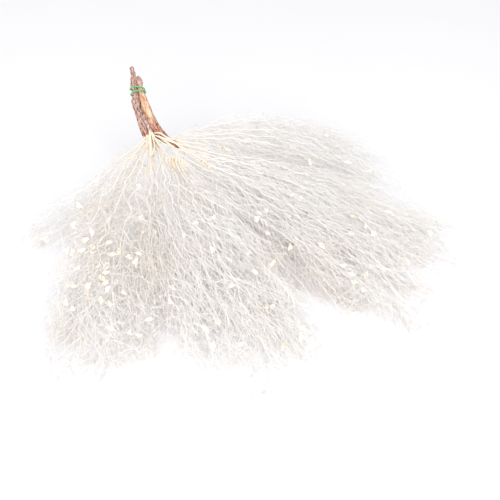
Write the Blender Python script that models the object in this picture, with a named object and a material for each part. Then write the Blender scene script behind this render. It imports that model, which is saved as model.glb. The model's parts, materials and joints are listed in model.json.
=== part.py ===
"""A tied bundle of dried, bleached dream grass, lying on a surface.

Four bark-covered woody stems are bound with green paper-covered wire. From their lower ends
six cream sprays fan out and droop to the surface. Each spray is one culm with its forked,
hair-fine branchlets, sheaths and papery bracts, grown together as one solid.
"""

import math
from typing import NamedTuple

import bmesh
import bpy
import numpy as np

MM = 0.001
UP = np.array([0.0, 0.0, 1.0])

# The collar is where the woody stems end and the sprays begin. Its x and y put the origin
# of the whole bundle under the middle of its box.
COLLAR = np.array([-87.9, 61.7, 87.0]) * MM
STALK_AZIMUTH = 109.3
STALK_TILT = 32.6

# Gaps that separate pieces keep between their surfaces.
SEAT_GAP = 0.3 * MM
CLEAR_GAP = 0.45 * MM

STEM_SIDES = 8
STEM_RING_STEP = 5.0 * MM
BARK_ROUGHNESS = 0.05

# The tie starts at its angle in degrees, from the stalk's right towards the viewer, and goes
# down past the viewer to the right. Its places are turns, each with the height up the stalk.
TIE_WIRE_RADIUS = 0.9 * MM
TIE_START = 200.0
TIE_PLACES = (0.0, 0.3, 0.55, 0.8, 1.05, 1.3, 1.55, 1.7)
TIE_HEIGHTS = (59.9, 57.3, 55.2, 54.6, 52.7, 52.9, 52.7, 51.2)
TIE_POINTS_PER_TURN = 14
TIE_SIDES = 6

# A culm's reach is a share of its spray's, and its taper a power of the length that is left.
CULM_SIDES = 6
CULM_STATIONS = 7
CULM_POINTS = 11
CULM_REACH = 0.8
CULM_TIP_RADIUS = 0.7 * MM
CULM_TAPER = 0.8
CULM_NODE_EVERY = 3
CULM_NODE_SWELL = 1.35
CULM_STUB = 3.0 * MM
CULM_CROWDING = 1.6

# Branchlets grow from the culm and forks from branchlets. A fork's root is thin enough to
# be sunk inside the branchlet that it leaves.
STRAND_SIDES = 3
STRAND_FLOOR = 0.2 * MM
STRAND_ROOT = 3.5 * MM
STRAND_WANDER = 2.5 * MM
STRAND_TRIES = 60
STRAND_HEADROOM = 3.5 * MM

# Lengths are shares of the spray's reach, and a branchlet's place on its culm, its aim to the
# side and its droop are shares of the culm, of the sector's half width and of the height.
BRANCHLET_RADIUS = 0.6 * MM
BRANCHLET_STEPS = 3
BRANCHLET_FIRST = 0.02
BRANCHLET_LAST = 0.95
BRANCHLET_CROWDING = 1.25
BRANCHLET_LENGTH_FIRST = 0.5
BRANCHLET_LENGTH_LAST = 0.3
BRANCHLET_LENGTH_VARIES = 0.12
BRANCHLET_SPREAD = 1.1
BRANCHLET_SIDE_CROWDING = 0.6
BRANCHLET_SIDE_SHORTENING = 0.2
BRANCHLET_SIDE_DROOP = 0.35
BRANCHLET_ELBOW = 0.26

# A fork's places and length are shares of its branchlet's, and its angles are in degrees.
FORK_RADIUS = 0.42 * MM
FORK_ROOT_RADIUS = 0.3 * MM
FORK_STEPS = 2
FORK_PLACES = ((0.25, 0.45), (0.5, 0.75))
FORK_LENGTHS = (0.42, 0.62)
FORK_ANGLES = (22.0, 40.0)
FORK_SIDEWAYS = 1.2
FORK_SAG = 0.3

# The seat is how far down its strand a bract starts, and the belly where it is widest, both
# as shares of its length.
BRACT_LENGTH = 5.6 * MM
BRACT_WIDTH = 3.8 * MM
BRACT_DEPTH = 1.6 * MM
BRACT_SEAT = 0.35
BRACT_BELLY = 0.45
BRACT_EVERY = 6

# A spray's sector narrows towards its tips, and its reach is shorter at the sector's sides.
SECTOR_START = 35.0 * MM
SECTOR_NARROWING = 0.25
SECTOR_EDGE = 6
SECTOR_ROUNDING = 0.18

SMOOTH_STEPS = 12
LEVEL_ENOUGH = 0.3
NEARLY_PARALLEL = 1e-6


class Knot(NamedTuple):
    """A place along a woody stem, in millimetres: across, towards the viewer, up the stalk."""

    across: float
    front: float
    along: float
    radius: float


class Strand(NamedTuple):
    """A branchlet or a fork: the points it runs along and its radius at each."""

    points: np.ndarray
    radii: np.ndarray


class Spray(NamedTuple):
    """A spray: the stem it grows on, how its culm starts there, and where it lies.

    The offset, radius, reach and rise are in millimetres, and the offset is sideways from the
    middle of the stem's end. Its strands keep to a sector round its heading, which turns by
    the curl towards the tips; these are in degrees. The fall is the power by which the culm
    comes down along its reach.
    """

    name: str
    stem: str
    offset: float
    radius: float
    heading: float
    curl: float
    half_sector: float
    reach: float
    fall: float
    rise: float
    branchlets: int
    seed: int


# The woody stems, from the cut end down to where their sprays start.
STEMS = {
    "woody_stem_left": [
        Knot(0.1, 0.6, 81.7, 1.75),
        Knot(-0.3, 0.7, 74.0, 1.85),
        Knot(-1.8, 0.8, 68.5, 2.0),
        Knot(-2.6, 0.9, 62.5, 2.2),
        Knot(-3.2, 0.8, 56.4, 2.0),
        Knot(-4.2, 0.6, 50.0, 2.3),
        Knot(-5.5, 0.5, 43.6, 3.6),
        Knot(-5.7, 0.5, 39.5, 3.1),
        Knot(-6.1, 0.7, 33.0, 2.5),
        Knot(-6.1, 0.8, 22.0, 2.5),
        Knot(-5.2, 0.8, 13.0, 2.8),
        Knot(-4.2, 1.0, 2.0, 2.9),
    ],
    "woody_stem_right": [
        Knot(2.7, 0.3, 70.3, 1.4),
        Knot(3.3, 0.3, 63.5, 2.2),
        Knot(2.8, 0.2, 57.0, 2.1),
        Knot(2.6, 0.4, 50.0, 2.6),
        Knot(2.9, 0.8, 43.0, 3.3),
        Knot(3.0, 0.9, 36.0, 3.7),
        Knot(3.6, 0.9, 29.0, 3.8),
        Knot(4.9, 0.9, 21.0, 3.8),
        Knot(6.6, 1.0, 12.7, 4.0),
        Knot(9.1, 2.2, 3.2, 4.2),
        Knot(13.2, 4.8, -6.0, 3.7),
        Knot(21.6, 8.4, -14.8, 3.2),
    ],
    "woody_stem_middle": [
        Knot(-3.0, -3.9, 65.5, 1.5),
        Knot(-2.0, -4.2, 56.0, 1.7),
        Knot(-2.2, -4.8, 47.0, 2.0),
        Knot(-2.6, -5.0, 39.0, 2.0),
        Knot(-2.6, -4.2, 32.0, 2.1),
        Knot(-1.4, -4.1, 25.0, 2.4),
        Knot(0.8, -4.4, 17.0, 2.6),
        Knot(2.3, -4.4, 9.0, 2.7),
        Knot(3.0, -3.9, 2.0, 2.7),
    ],
    "woody_stem_rear": [
        Knot(2.6, -4.0, 63.5, 1.5),
        Knot(2.2, -4.6, 56.0, 1.6),
        Knot(2.6, -5.8, 47.0, 1.9),
        Knot(3.4, -6.9, 39.0, 2.1),
        Knot(4.4, -7.8, 30.0, 2.2),
        Knot(6.2, -8.4, 21.0, 2.3),
        Knot(8.6, -8.4, 11.0, 2.5),
        Knot(11.5, -7.2, 2.0, 2.6),
    ],
}

SPRAYS = [
    Spray("spray_left", "woody_stem_left", 2.7, 1.3, 209.0, -7.0, 26.0, 147.0, 1.05, 2.0, 20, 12),
    Spray("spray_front_left", "woody_stem_left", -1.9, 1.9, 255.0, 8.0, 20.0, 241.0, 1.6, 3.0, 33, 22),
    Spray("spray_front", "woody_stem_middle", 0.0, 1.9, 294.0, 1.0, 18.5, 288.0, 1.5, 6.0, 34, 33),
    Spray("spray_right_front", "woody_stem_right", 2.0, 1.7, 324.0, 3.0, 11.5, 336.0, 1.35, 4.0, 34, 44),
    Spray("spray_right", "woody_stem_right", -2.0, 1.7, 348.0, -1.0, 12.5, 325.0, 1.3, 10.0, 34, 55),
    Spray("spray_back", "woody_stem_rear", 0.0, 1.9, 26.0, -8.0, 24.0, 290.0, 1.6, 16.0, 34, 67),
]

COLOURS = {
    "woody_stem_left": (0.36, 0.22, 0.16),
    "woody_stem_right": (0.55, 0.31, 0.18),
    "woody_stem_middle": (0.42, 0.25, 0.17),
    "woody_stem_rear": (0.33, 0.19, 0.14),
    "green_tie": (0.09, 0.42, 0.13),
}
SPRAY_COLOUR = (0.86, 0.80, 0.70)


def unit(vector):
    return vector / np.linalg.norm(vector)


def heading_vector(degrees):
    angle = math.radians(degrees)
    return np.array([math.cos(angle), math.sin(angle), 0.0])


def stalk_axes():
    """Unit vectors of the stalk: across it, towards the viewer, and up it to the cut ends."""
    tilt = math.radians(STALK_TILT)
    along = heading_vector(STALK_AZIMUTH) * math.cos(tilt) + UP * math.sin(tilt)
    across = unit(np.cross(along, UP))
    front = np.cross(across, along)
    return across, front, along


STALK_ACROSS, STALK_FRONT, STALK_ALONG = stalk_axes()


def stalk_point(knot):
    offset = STALK_ACROSS * knot.across + STALK_FRONT * knot.front + STALK_ALONG * knot.along
    return COLLAR + offset * MM


def smooth_run(points, count, crowding=1.0):
    """Points on a Catmull-Rom curve through the given ones, closer at the start if crowded."""
    points = np.asarray(points, dtype=float)
    padded = np.vstack([2 * points[0] - points[1], points, 2 * points[-1] - points[-2]])
    fine = []
    for i in range(len(points) - 1):
        a, b, c, d = padded[i : i + 4]
        for t in np.linspace(0.0, 1.0, SMOOTH_STEPS, endpoint=False):
            fine.append(
                b
                + 0.5 * t * (c - a + t * (2 * a - 5 * b + 4 * c - d + t * (3 * (b - c) + d - a)))
            )
    fine.append(points[-1])
    fine = np.array(fine)
    steps = np.linalg.norm(np.diff(fine[:, :3], axis=0), axis=1)
    travelled = np.concatenate([[0.0], np.cumsum(steps)])
    wanted = travelled[-1] * np.linspace(0.0, 1.0, count) ** crowding
    return np.column_stack([np.interp(wanted, travelled, column) for column in fine.T])


def new_object(name, mesh, colour, roughness=0.8):
    """A scene object that owns the bmesh's faces and its own plain material."""
    data = bpy.data.meshes.new(name)
    mesh.to_mesh(data)
    mesh.free()
    made = bpy.data.objects.new(name, data)
    bpy.context.scene.collection.objects.link(made)
    material = bpy.data.materials.new(name)
    material.use_nodes = True
    shader = material.node_tree.nodes["Principled BSDF"]
    shader.inputs["Base Color"].default_value = (*colour, 1.0)
    shader.inputs["Roughness"].default_value = roughness
    data.materials.append(material)
    return made


def frames(points):
    """A sideways and an upward unit vector, square to the run, for each of its points."""
    tangents = np.gradient(points, axis=0)
    side = None
    for tangent in tangents:
        tangent = unit(tangent)
        level = np.cross(tangent, UP)
        if side is None or np.linalg.norm(level) > LEVEL_ENOUGH:
            level = unit(level)
            side = level if side is None or level @ side > 0 else -level
        else:
            side = unit(side - tangent * (side @ tangent))
        yield side, np.cross(side, tangent)


def tube(points, radii, sides, bumps=None):
    """A closed tube along the points, flat side down, that goes no lower than the surface."""
    mesh = bmesh.new()
    rings = []
    turn = 2.0 * math.pi / sides
    first = turn / 2.0 - math.pi / 2.0
    for index, (side, top) in enumerate(frames(points)):
        ring = []
        for k in range(sides):
            angle = first + k * turn
            bump = 1.0 if bumps is None else bumps[index, k]
            outward = side * math.cos(angle) + top * math.sin(angle)
            corner = points[index] + outward * radii[index] * bump
            corner[2] = max(corner[2], 0.0)
            ring.append(mesh.verts.new(corner))
        rings.append(ring)
    for low, high in zip(rings, rings[1:]):
        for k in range(sides):
            n = (k + 1) % sides
            mesh.faces.new((low[k], high[k], high[n]))
            mesh.faces.new((low[k], high[n], low[n]))
    mesh.faces.new(rings[0])
    mesh.faces.new(list(reversed(rings[-1])))
    return mesh


def fuse(core, pieces):
    """Join the pieces to the core with one union, and remove what it was joined from."""
    group = bpy.data.collections.new(core.name + "_pieces")
    for piece in pieces:
        group.objects.link(piece)
    join = core.modifiers.new("Join", "BOOLEAN")
    join.operation = "UNION"
    join.operand_type = "COLLECTION"
    join.collection = group
    join.solver = "EXACT"
    graph = bpy.context.evaluated_depsgraph_get()
    joined = bpy.data.meshes.new_from_object(core.evaluated_get(graph))
    core.modifiers.clear()
    core.data = joined
    for piece in pieces:
        bpy.data.objects.remove(piece)
    bpy.data.collections.remove(group)


class Neighbours:
    """Every run of stem or strand placed so far, so that new ones can be bent clear."""

    def __init__(self):
        self.starts = np.empty((0, 3))
        self.ends = np.empty((0, 3))
        self.radii = np.empty(0)
        self.owners = np.empty(0, dtype=int)
        self.cores = np.empty(0, dtype=bool)

    def add(self, points, radius, owner, core=False):
        count = len(points) - 1
        self.starts = np.vstack([self.starts, points[:-1]])
        self.ends = np.vstack([self.ends, points[1:]])
        self.radii = np.concatenate([self.radii, np.full(count, radius)])
        self.owners = np.concatenate([self.owners, np.full(count, owner)])
        self.cores = np.concatenate([self.cores, np.full(count, core)])

    def gaps(self, start, end):
        """The distance from one straight run to the middle line of every run placed."""
        run = end - start
        runs = self.ends - self.starts
        apart = start - self.starts
        run_sq = run @ run
        runs_sq = np.einsum("ij,ij->i", runs, runs)
        along = runs @ run
        near = np.einsum("ij,ij->i", runs, apart)
        here = apart @ run
        spread = run_sq * runs_sq - along**2
        flat = spread < NEARLY_PARALLEL * run_sq * runs_sq
        s = np.where(flat, 0.0, (along * near - here * runs_sq) / np.where(flat, 1.0, spread))
        s = np.clip(s, 0.0, 1.0)
        t = np.clip((along * s + near) / runs_sq, 0.0, 1.0)
        s = np.clip((along * t - here) / run_sq, 0.0, 1.0)
        return np.linalg.norm(apart + s[:, None] * run - t[:, None] * runs, axis=1)

    def allow(self, points, radius, owner):
        """Whether a strand clears the other sprays and, past its root, its own one's strands."""
        others = self.owners != owner
        strands = ~others & ~self.cores
        for index in range(len(points) - 1):
            start, end = points[index], points[index + 1]
            room = self.gaps(start, end) - self.radii - radius
            if np.any(room[others] < CLEAR_GAP):
                return False
            if index == 0:
                start = start + unit(end - start) * STRAND_ROOT
                room = self.gaps(start, end) - self.radii - radius
            if np.any(room[strands] < 0.0):
                return False
        return True


def stem_run(knots):
    """Points along a woody stem, each with its radius."""
    rows = [(*stalk_point(knot), knot.radius * MM) for knot in knots]
    length = sum(np.linalg.norm(np.subtract(a[:3], b[:3])) for a, b in zip(rows, rows[1:]))
    return smooth_run(rows, int(round(length / STEM_RING_STEP)) + 1)


def woody_stem(name, knots, neighbours, owner):
    """A knotty, bark-covered stem whose rings wander a little in size from place to place."""
    run = stem_run(knots)
    count = len(run)
    bark = np.random.default_rng(owner).normal(1.0, BARK_ROUGHNESS, (count, STEM_SIDES))
    bark = np.clip(bark, 1.0 - 2 * BARK_ROUGHNESS, 1.0 + BARK_ROUGHNESS)
    neighbours.add(run[:, :3], float(run[:, 3].max()), owner)
    mesh = tube(run[:, :3], run[:, 3], STEM_SIDES, bark)
    return new_object(name, mesh, COLOURS[name])


def stem_sections(along):
    """Where each stem is at one place along the stalk: across, front and radius, in metres."""
    sections = []
    for knots in STEMS.values():
        ordered = sorted(knots, key=lambda knot: knot.along)
        places = [knot.along for knot in ordered]
        if places[0] <= along <= places[-1]:
            sections.append(
                [
                    np.interp(along, places, [getattr(knot, field) for knot in ordered])
                    for field in ("across", "front", "radius")
                ]
            )
    return np.array(sections) * MM


def green_tie():
    """Paper-covered wire wound round the four stems, close to their outline."""
    count = int(TIE_PLACES[-1] * TIE_POINTS_PER_TURN) + 1
    points = []
    for index in range(count):
        turn = index / TIE_POINTS_PER_TURN
        angle = math.radians(TIE_START) - 2.0 * math.pi * turn
        along = np.interp(turn, TIE_PLACES, TIE_HEIGHTS) * MM
        way = np.array([math.cos(angle), math.sin(angle)])
        stems = stem_sections(along / MM)
        middle = stems[:, :2].mean(axis=0)
        edge = ((stems[:, :2] - middle) @ way + stems[:, 2] * (1.0 + BARK_ROUGHNESS)).max()
        spot = middle + way * (edge + SEAT_GAP + TIE_WIRE_RADIUS)
        points.append(COLLAR + STALK_ACROSS * spot[0] + STALK_FRONT * spot[1] + STALK_ALONG * along)
    mesh = tube(np.array(points), np.full(count, TIE_WIRE_RADIUS), TIE_SIDES)
    return new_object("green_tie", mesh, COLOURS["green_tie"], 0.6)


def culm_run(spray):
    """Points of a culm, with its radius: a short stub off the stem, then an arch to the floor."""
    stem = stem_run(STEMS[spray.stem])[:, :3]
    onward = unit(stem[-1] - stem[-2])
    sideways = unit(np.cross(onward, UP))
    root = stem[-1] + onward * SEAT_GAP + sideways * spray.offset * MM
    stub = root + onward * CULM_STUB
    azimuth = spray.heading + spray.curl * CULM_REACH
    tip = COLLAR + heading_vector(azimuth) * spray.reach * CULM_REACH * MM
    thickness = spray.radius * MM
    rows = [(*stub, thickness)]
    for station in range(1, CULM_STATIONS + 1):
        t = station / CULM_STATIONS
        spot = stub + (tip - stub) * t
        reached = t * CULM_REACH
        height = stub[2] * (1.0 - reached**spray.fall)
        height += spray.rise * MM * math.sin(math.pi * t)
        radius = CULM_TIP_RADIUS + (thickness - CULM_TIP_RADIUS) * (1.0 - t) ** CULM_TAPER
        rows.append((spot[0], spot[1], height, radius))
    run = np.vstack([(*root, thickness), smooth_run(rows, CULM_POINTS, CULM_CROWDING)])
    run[CULM_NODE_EVERY::CULM_NODE_EVERY, 3] *= CULM_NODE_SWELL
    return run


def sector_at(spray, distance):
    """The middle and the half width, in degrees, of a spray's sector this far from the collar."""
    share = min(distance / (spray.reach * MM), 1.0)
    return spray.heading + spray.curl * share, spray.half_sector * (1.0 - SECTOR_NARROWING * share)


def ridge_height(culm, distance):
    return np.interp(distance, np.linalg.norm((culm - COLLAR)[:, :2], axis=1), culm[:, 2])


def kept_in(point, spray, culm):
    """Bend a point that strays back into its spray's sector and reach, under its ridge."""
    offset = point[:2] - COLLAR[:2]
    distance = np.linalg.norm(offset)
    height = min(point[2], ridge_height(culm, distance) + STRAND_HEADROOM)
    height = max(height, STRAND_FLOOR)
    if distance < SECTOR_START:
        return np.array([point[0], point[1], height])
    middle, half = sector_at(spray, distance)
    stray = math.degrees(math.atan2(offset[1], offset[0])) - middle
    stray = (stray + 180.0) % 360.0 - 180.0
    half -= math.degrees(CLEAR_GAP / distance)
    stray /= (1.0 + (stray / half) ** SECTOR_EDGE) ** (1.0 / SECTOR_EDGE)
    reach = spray.reach * MM * (1.0 - SECTOR_ROUNDING * (stray / half) ** 2)
    bent = COLLAR + heading_vector(middle + stray) * min(distance, reach)
    return np.array([bent[0], bent[1], height])


def place_on(points, share):
    """The point and the direction at a share of the way through a run's points."""
    where = share * (len(points) - 1)
    low = min(int(where), len(points) - 2)
    step = points[low + 1] - points[low]
    return points[low] + step * (where - low), unit(step)


def between(first, last, share):
    return first + (last - first) * share


def branchlet(rng, spray, culm, share):
    """A branchlet that leaves the culm and bends out to its own place in the spray's fan."""
    start, tangent = place_on(culm, between(BRANCHLET_FIRST, BRANCHLET_LAST, share))
    length = spray.reach * MM * between(BRANCHLET_LENGTH_FIRST, BRANCHLET_LENGTH_LAST, share)
    length *= 1.0 + rng.uniform(-BRANCHLET_LENGTH_VARIES, BRANCHLET_LENGTH_VARIES)
    side = rng.choice((-1.0, 1.0)) * rng.uniform(0.0, 1.0) ** BRANCHLET_SIDE_CROWDING
    onward = length * (1.0 - BRANCHLET_SIDE_SHORTENING * abs(side))
    distance = np.linalg.norm((start - COLLAR)[:2]) + onward
    middle, half = sector_at(spray, distance)
    end = COLLAR + heading_vector(middle + side * half * BRANCHLET_SPREAD) * distance
    droop = 1.0 - BRANCHLET_SIDE_DROOP * side**2
    end[2] = ridge_height(culm, distance) * droop * rng.uniform(0.0, 1.0)
    elbow = start + tangent * BRANCHLET_ELBOW * length
    points = [start]
    for step in range(1, BRANCHLET_STEPS + 1):
        t = step / BRANCHLET_STEPS
        spot = start * (1 - t) ** 2 + elbow * 2 * t * (1 - t) + end * t**2
        points.append(kept_in(spot + rng.normal(0.0, STRAND_WANDER, 3), spray, culm))
    radii = np.linspace(BRANCHLET_RADIUS, FORK_RADIUS, BRANCHLET_STEPS + 1)
    return Strand(np.array(points), radii)


def fork(rng, spray, culm, parent, place):
    """A finer strand that forks off a branchlet and sags until it lies on the floor."""
    start, direction = place_on(parent.points, rng.uniform(*place))
    length = np.linalg.norm(parent.points[-1] - parent.points[0]) * rng.uniform(*FORK_LENGTHS)
    leaning = rng.normal(0.0, 1.0, 3) + UP * FORK_SIDEWAYS * rng.choice((-1.0, 1.0))
    away = unit(np.cross(direction, leaning))
    angle = math.radians(rng.uniform(*FORK_ANGLES))
    direction = direction * math.cos(angle) + away * math.sin(angle)
    points = [start]
    for _ in range(FORK_STEPS):
        points.append(kept_in(points[-1] + direction * length / FORK_STEPS, spray, culm))
        direction = unit(direction - FORK_SAG * UP)
    radii = np.full(FORK_STEPS + 1, FORK_RADIUS)
    radii[0] = FORK_ROOT_RADIUS
    return Strand(np.array(points), radii)


def first_that_fits(draw, neighbours, owner):
    """Draw strands until one has room, and keep it; None when every one is refused."""
    for _ in range(STRAND_TRIES):
        strand = draw()
        radius = float(strand.radii.max())
        if neighbours.allow(strand.points, radius, owner):
            neighbours.add(strand.points, radius, owner)
            return strand
    return None


def strands_of(spray, culm, neighbours, owner):
    """A spray's branchlets, each with the forks that find room."""
    rng = np.random.default_rng(spray.seed)
    strands = []
    for index in range(spray.branchlets):
        share = ((index + 0.5) / spray.branchlets) ** BRANCHLET_CROWDING
        main = first_that_fits(lambda: branchlet(rng, spray, culm, share), neighbours, owner)
        if main is None:
            continue
        strands.append(main)
        for place in FORK_PLACES:
            finer = first_that_fits(lambda: fork(rng, spray, culm, main, place), neighbours, owner)
            if finer is not None:
                strands.append(finer)
    return strands


def bract(strand):
    """A cupped, pointed papery bract round the tip of a strand."""
    tip = strand.points[-1]
    way = unit(tip - strand.points[-2])
    side = unit(np.cross(way, UP))
    top = np.cross(side, way)
    base = tip - way * BRACT_SEAT * BRACT_LENGTH
    belly = base + way * BRACT_BELLY * BRACT_LENGTH
    corners = [
        base,
        belly + side * BRACT_WIDTH / 2,
        belly + top * BRACT_DEPTH / 2,
        belly - side * BRACT_WIDTH / 2,
        belly - top * BRACT_DEPTH / 2,
        base + way * BRACT_LENGTH,
    ]
    mesh = bmesh.new()
    verts = [mesh.verts.new((x, y, max(z, 0.0))) for x, y, z in corners]
    for k in range(4):
        here, there = verts[1 + k], verts[1 + (k + 1) % 4]
        mesh.faces.new((verts[0], here, there))
        mesh.faces.new((verts[5], there, here))
    bmesh.ops.recalc_face_normals(mesh, faces=mesh.faces)
    return mesh


def spray_object(spray, culm, strands):
    """The spray as one solid: its culm with every strand and bract fused to it."""
    core = new_object(spray.name, tube(culm[:, :3], culm[:, 3], CULM_SIDES), SPRAY_COLOUR)
    pieces = []
    for number, strand in enumerate(strands):
        mesh = tube(strand.points, strand.radii, STRAND_SIDES)
        pieces.append(new_object("strand", mesh, SPRAY_COLOUR))
        if number % BRACT_EVERY == 1:
            pieces.append(new_object("bract", bract(strand), SPRAY_COLOUR))
    fuse(core, pieces)


def main():
    for old in list(bpy.data.objects):
        bpy.data.objects.remove(old)
    neighbours = Neighbours()
    for owner, (name, knots) in enumerate(STEMS.items(), start=100):
        woody_stem(name, knots, neighbours, owner)
    green_tie()
    culms = [culm_run(spray) for spray in SPRAYS]
    for owner, culm in enumerate(culms):
        neighbours.add(culm[:, :3], float(culm[:, 3].mean()), owner, core=True)
    for owner, (spray, culm) in enumerate(zip(SPRAYS, culms)):
        strands = strands_of(spray, culm[:, :3], neighbours, owner)
        spray_object(spray, culm, strands)


main()
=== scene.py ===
"""Looks of a tied bundle of bleached, dried dream grass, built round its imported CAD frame.

Bark-covered woody stems point up and away, bound with green paper-covered wire. From their
lower ends six cream sprays fan out and droop to the surface, each a few straight culms that
fork again and again into hair-fine strands, with papery bracts at some of the tips.
"""

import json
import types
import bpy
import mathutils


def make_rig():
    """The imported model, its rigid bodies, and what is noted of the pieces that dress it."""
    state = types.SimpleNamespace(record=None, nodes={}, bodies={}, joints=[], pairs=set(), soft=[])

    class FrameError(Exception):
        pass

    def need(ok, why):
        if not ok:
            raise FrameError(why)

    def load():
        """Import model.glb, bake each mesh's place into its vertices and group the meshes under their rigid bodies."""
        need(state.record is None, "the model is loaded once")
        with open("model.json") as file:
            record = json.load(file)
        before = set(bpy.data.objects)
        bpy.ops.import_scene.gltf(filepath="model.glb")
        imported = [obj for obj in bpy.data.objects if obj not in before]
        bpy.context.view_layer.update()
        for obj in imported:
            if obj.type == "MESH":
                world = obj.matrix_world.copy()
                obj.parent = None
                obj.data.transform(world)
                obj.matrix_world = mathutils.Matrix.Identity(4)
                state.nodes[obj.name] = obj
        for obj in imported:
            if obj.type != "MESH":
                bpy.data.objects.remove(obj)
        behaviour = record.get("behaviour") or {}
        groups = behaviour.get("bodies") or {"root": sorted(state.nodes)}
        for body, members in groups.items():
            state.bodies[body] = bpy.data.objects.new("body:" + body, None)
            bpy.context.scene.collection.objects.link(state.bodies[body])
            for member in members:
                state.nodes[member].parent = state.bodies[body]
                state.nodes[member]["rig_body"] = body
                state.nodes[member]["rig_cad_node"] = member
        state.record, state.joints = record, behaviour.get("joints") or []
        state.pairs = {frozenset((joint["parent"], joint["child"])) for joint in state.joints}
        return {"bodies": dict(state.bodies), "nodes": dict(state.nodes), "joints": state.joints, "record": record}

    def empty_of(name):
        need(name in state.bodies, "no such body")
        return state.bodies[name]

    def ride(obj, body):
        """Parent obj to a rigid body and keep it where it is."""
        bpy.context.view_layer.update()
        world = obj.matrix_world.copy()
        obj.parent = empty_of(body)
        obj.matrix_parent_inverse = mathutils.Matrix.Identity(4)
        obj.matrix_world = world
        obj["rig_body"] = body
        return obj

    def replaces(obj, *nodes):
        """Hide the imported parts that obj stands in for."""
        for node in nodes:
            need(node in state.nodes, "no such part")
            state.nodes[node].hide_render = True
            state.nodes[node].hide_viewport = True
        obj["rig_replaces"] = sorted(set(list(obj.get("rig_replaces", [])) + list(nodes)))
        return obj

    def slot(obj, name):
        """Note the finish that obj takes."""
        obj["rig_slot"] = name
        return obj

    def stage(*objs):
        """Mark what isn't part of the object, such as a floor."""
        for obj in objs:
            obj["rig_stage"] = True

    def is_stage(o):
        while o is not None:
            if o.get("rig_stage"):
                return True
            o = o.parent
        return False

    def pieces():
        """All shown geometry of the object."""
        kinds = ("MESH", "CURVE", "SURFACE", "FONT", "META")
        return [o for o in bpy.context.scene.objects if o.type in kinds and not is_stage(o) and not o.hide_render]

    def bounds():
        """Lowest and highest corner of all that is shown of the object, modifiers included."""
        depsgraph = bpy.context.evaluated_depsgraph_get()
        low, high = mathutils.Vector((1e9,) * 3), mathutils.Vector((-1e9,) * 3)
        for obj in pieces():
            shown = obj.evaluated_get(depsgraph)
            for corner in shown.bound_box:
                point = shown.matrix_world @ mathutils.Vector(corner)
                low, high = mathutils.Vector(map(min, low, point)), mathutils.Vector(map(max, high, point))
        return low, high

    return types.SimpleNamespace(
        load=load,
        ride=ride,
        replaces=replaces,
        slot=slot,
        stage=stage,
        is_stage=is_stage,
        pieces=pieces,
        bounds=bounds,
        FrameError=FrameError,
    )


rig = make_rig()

bl_info = {
    "name": "Dried Grass Bundle",
    "version": (1, 0, 0),
    "blender": (4, 5, 0),
    "location": "View3D > Sidebar > Grass Bundle",
    "description": "Builds a tied bundle of bleached, dried grass on a pale surface",
    "category": "Object",
}

import json
import math
from typing import NamedTuple

import bpy
import numpy as np
from bpy.props import FloatProperty, FloatVectorProperty, IntProperty, PointerProperty
from bpy.types import Operator, Panel, PropertyGroup
from mathutils import Vector

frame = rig.load()
CAD_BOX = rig.bounds()

MM = 0.001
UP = np.array([0.0, 0.0, 1.0])
BODY = "root"

# The collar is where the woody stems end and the sprays begin. From it the stalk points to
# this azimuth in plan, and leans up from the surface by this tilt, both in degrees.
COLLAR = np.array([-87.9, 61.7, 87.0]) * MM
STALK_AZIMUTH = 109.3
STALK_TILT = 32.6
# A smooth curve takes this many steps between two of its given points.
SMOOTH_STEPS = 12
# The tie lies this far off the solid stems.
SEAT_GAP = 0.3 * MM


class Knot(NamedTuple):
    """A place along a woody stem, in millimetres: across, towards the viewer, up the stalk."""

    across: float
    front: float
    along: float
    radius: float


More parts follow.
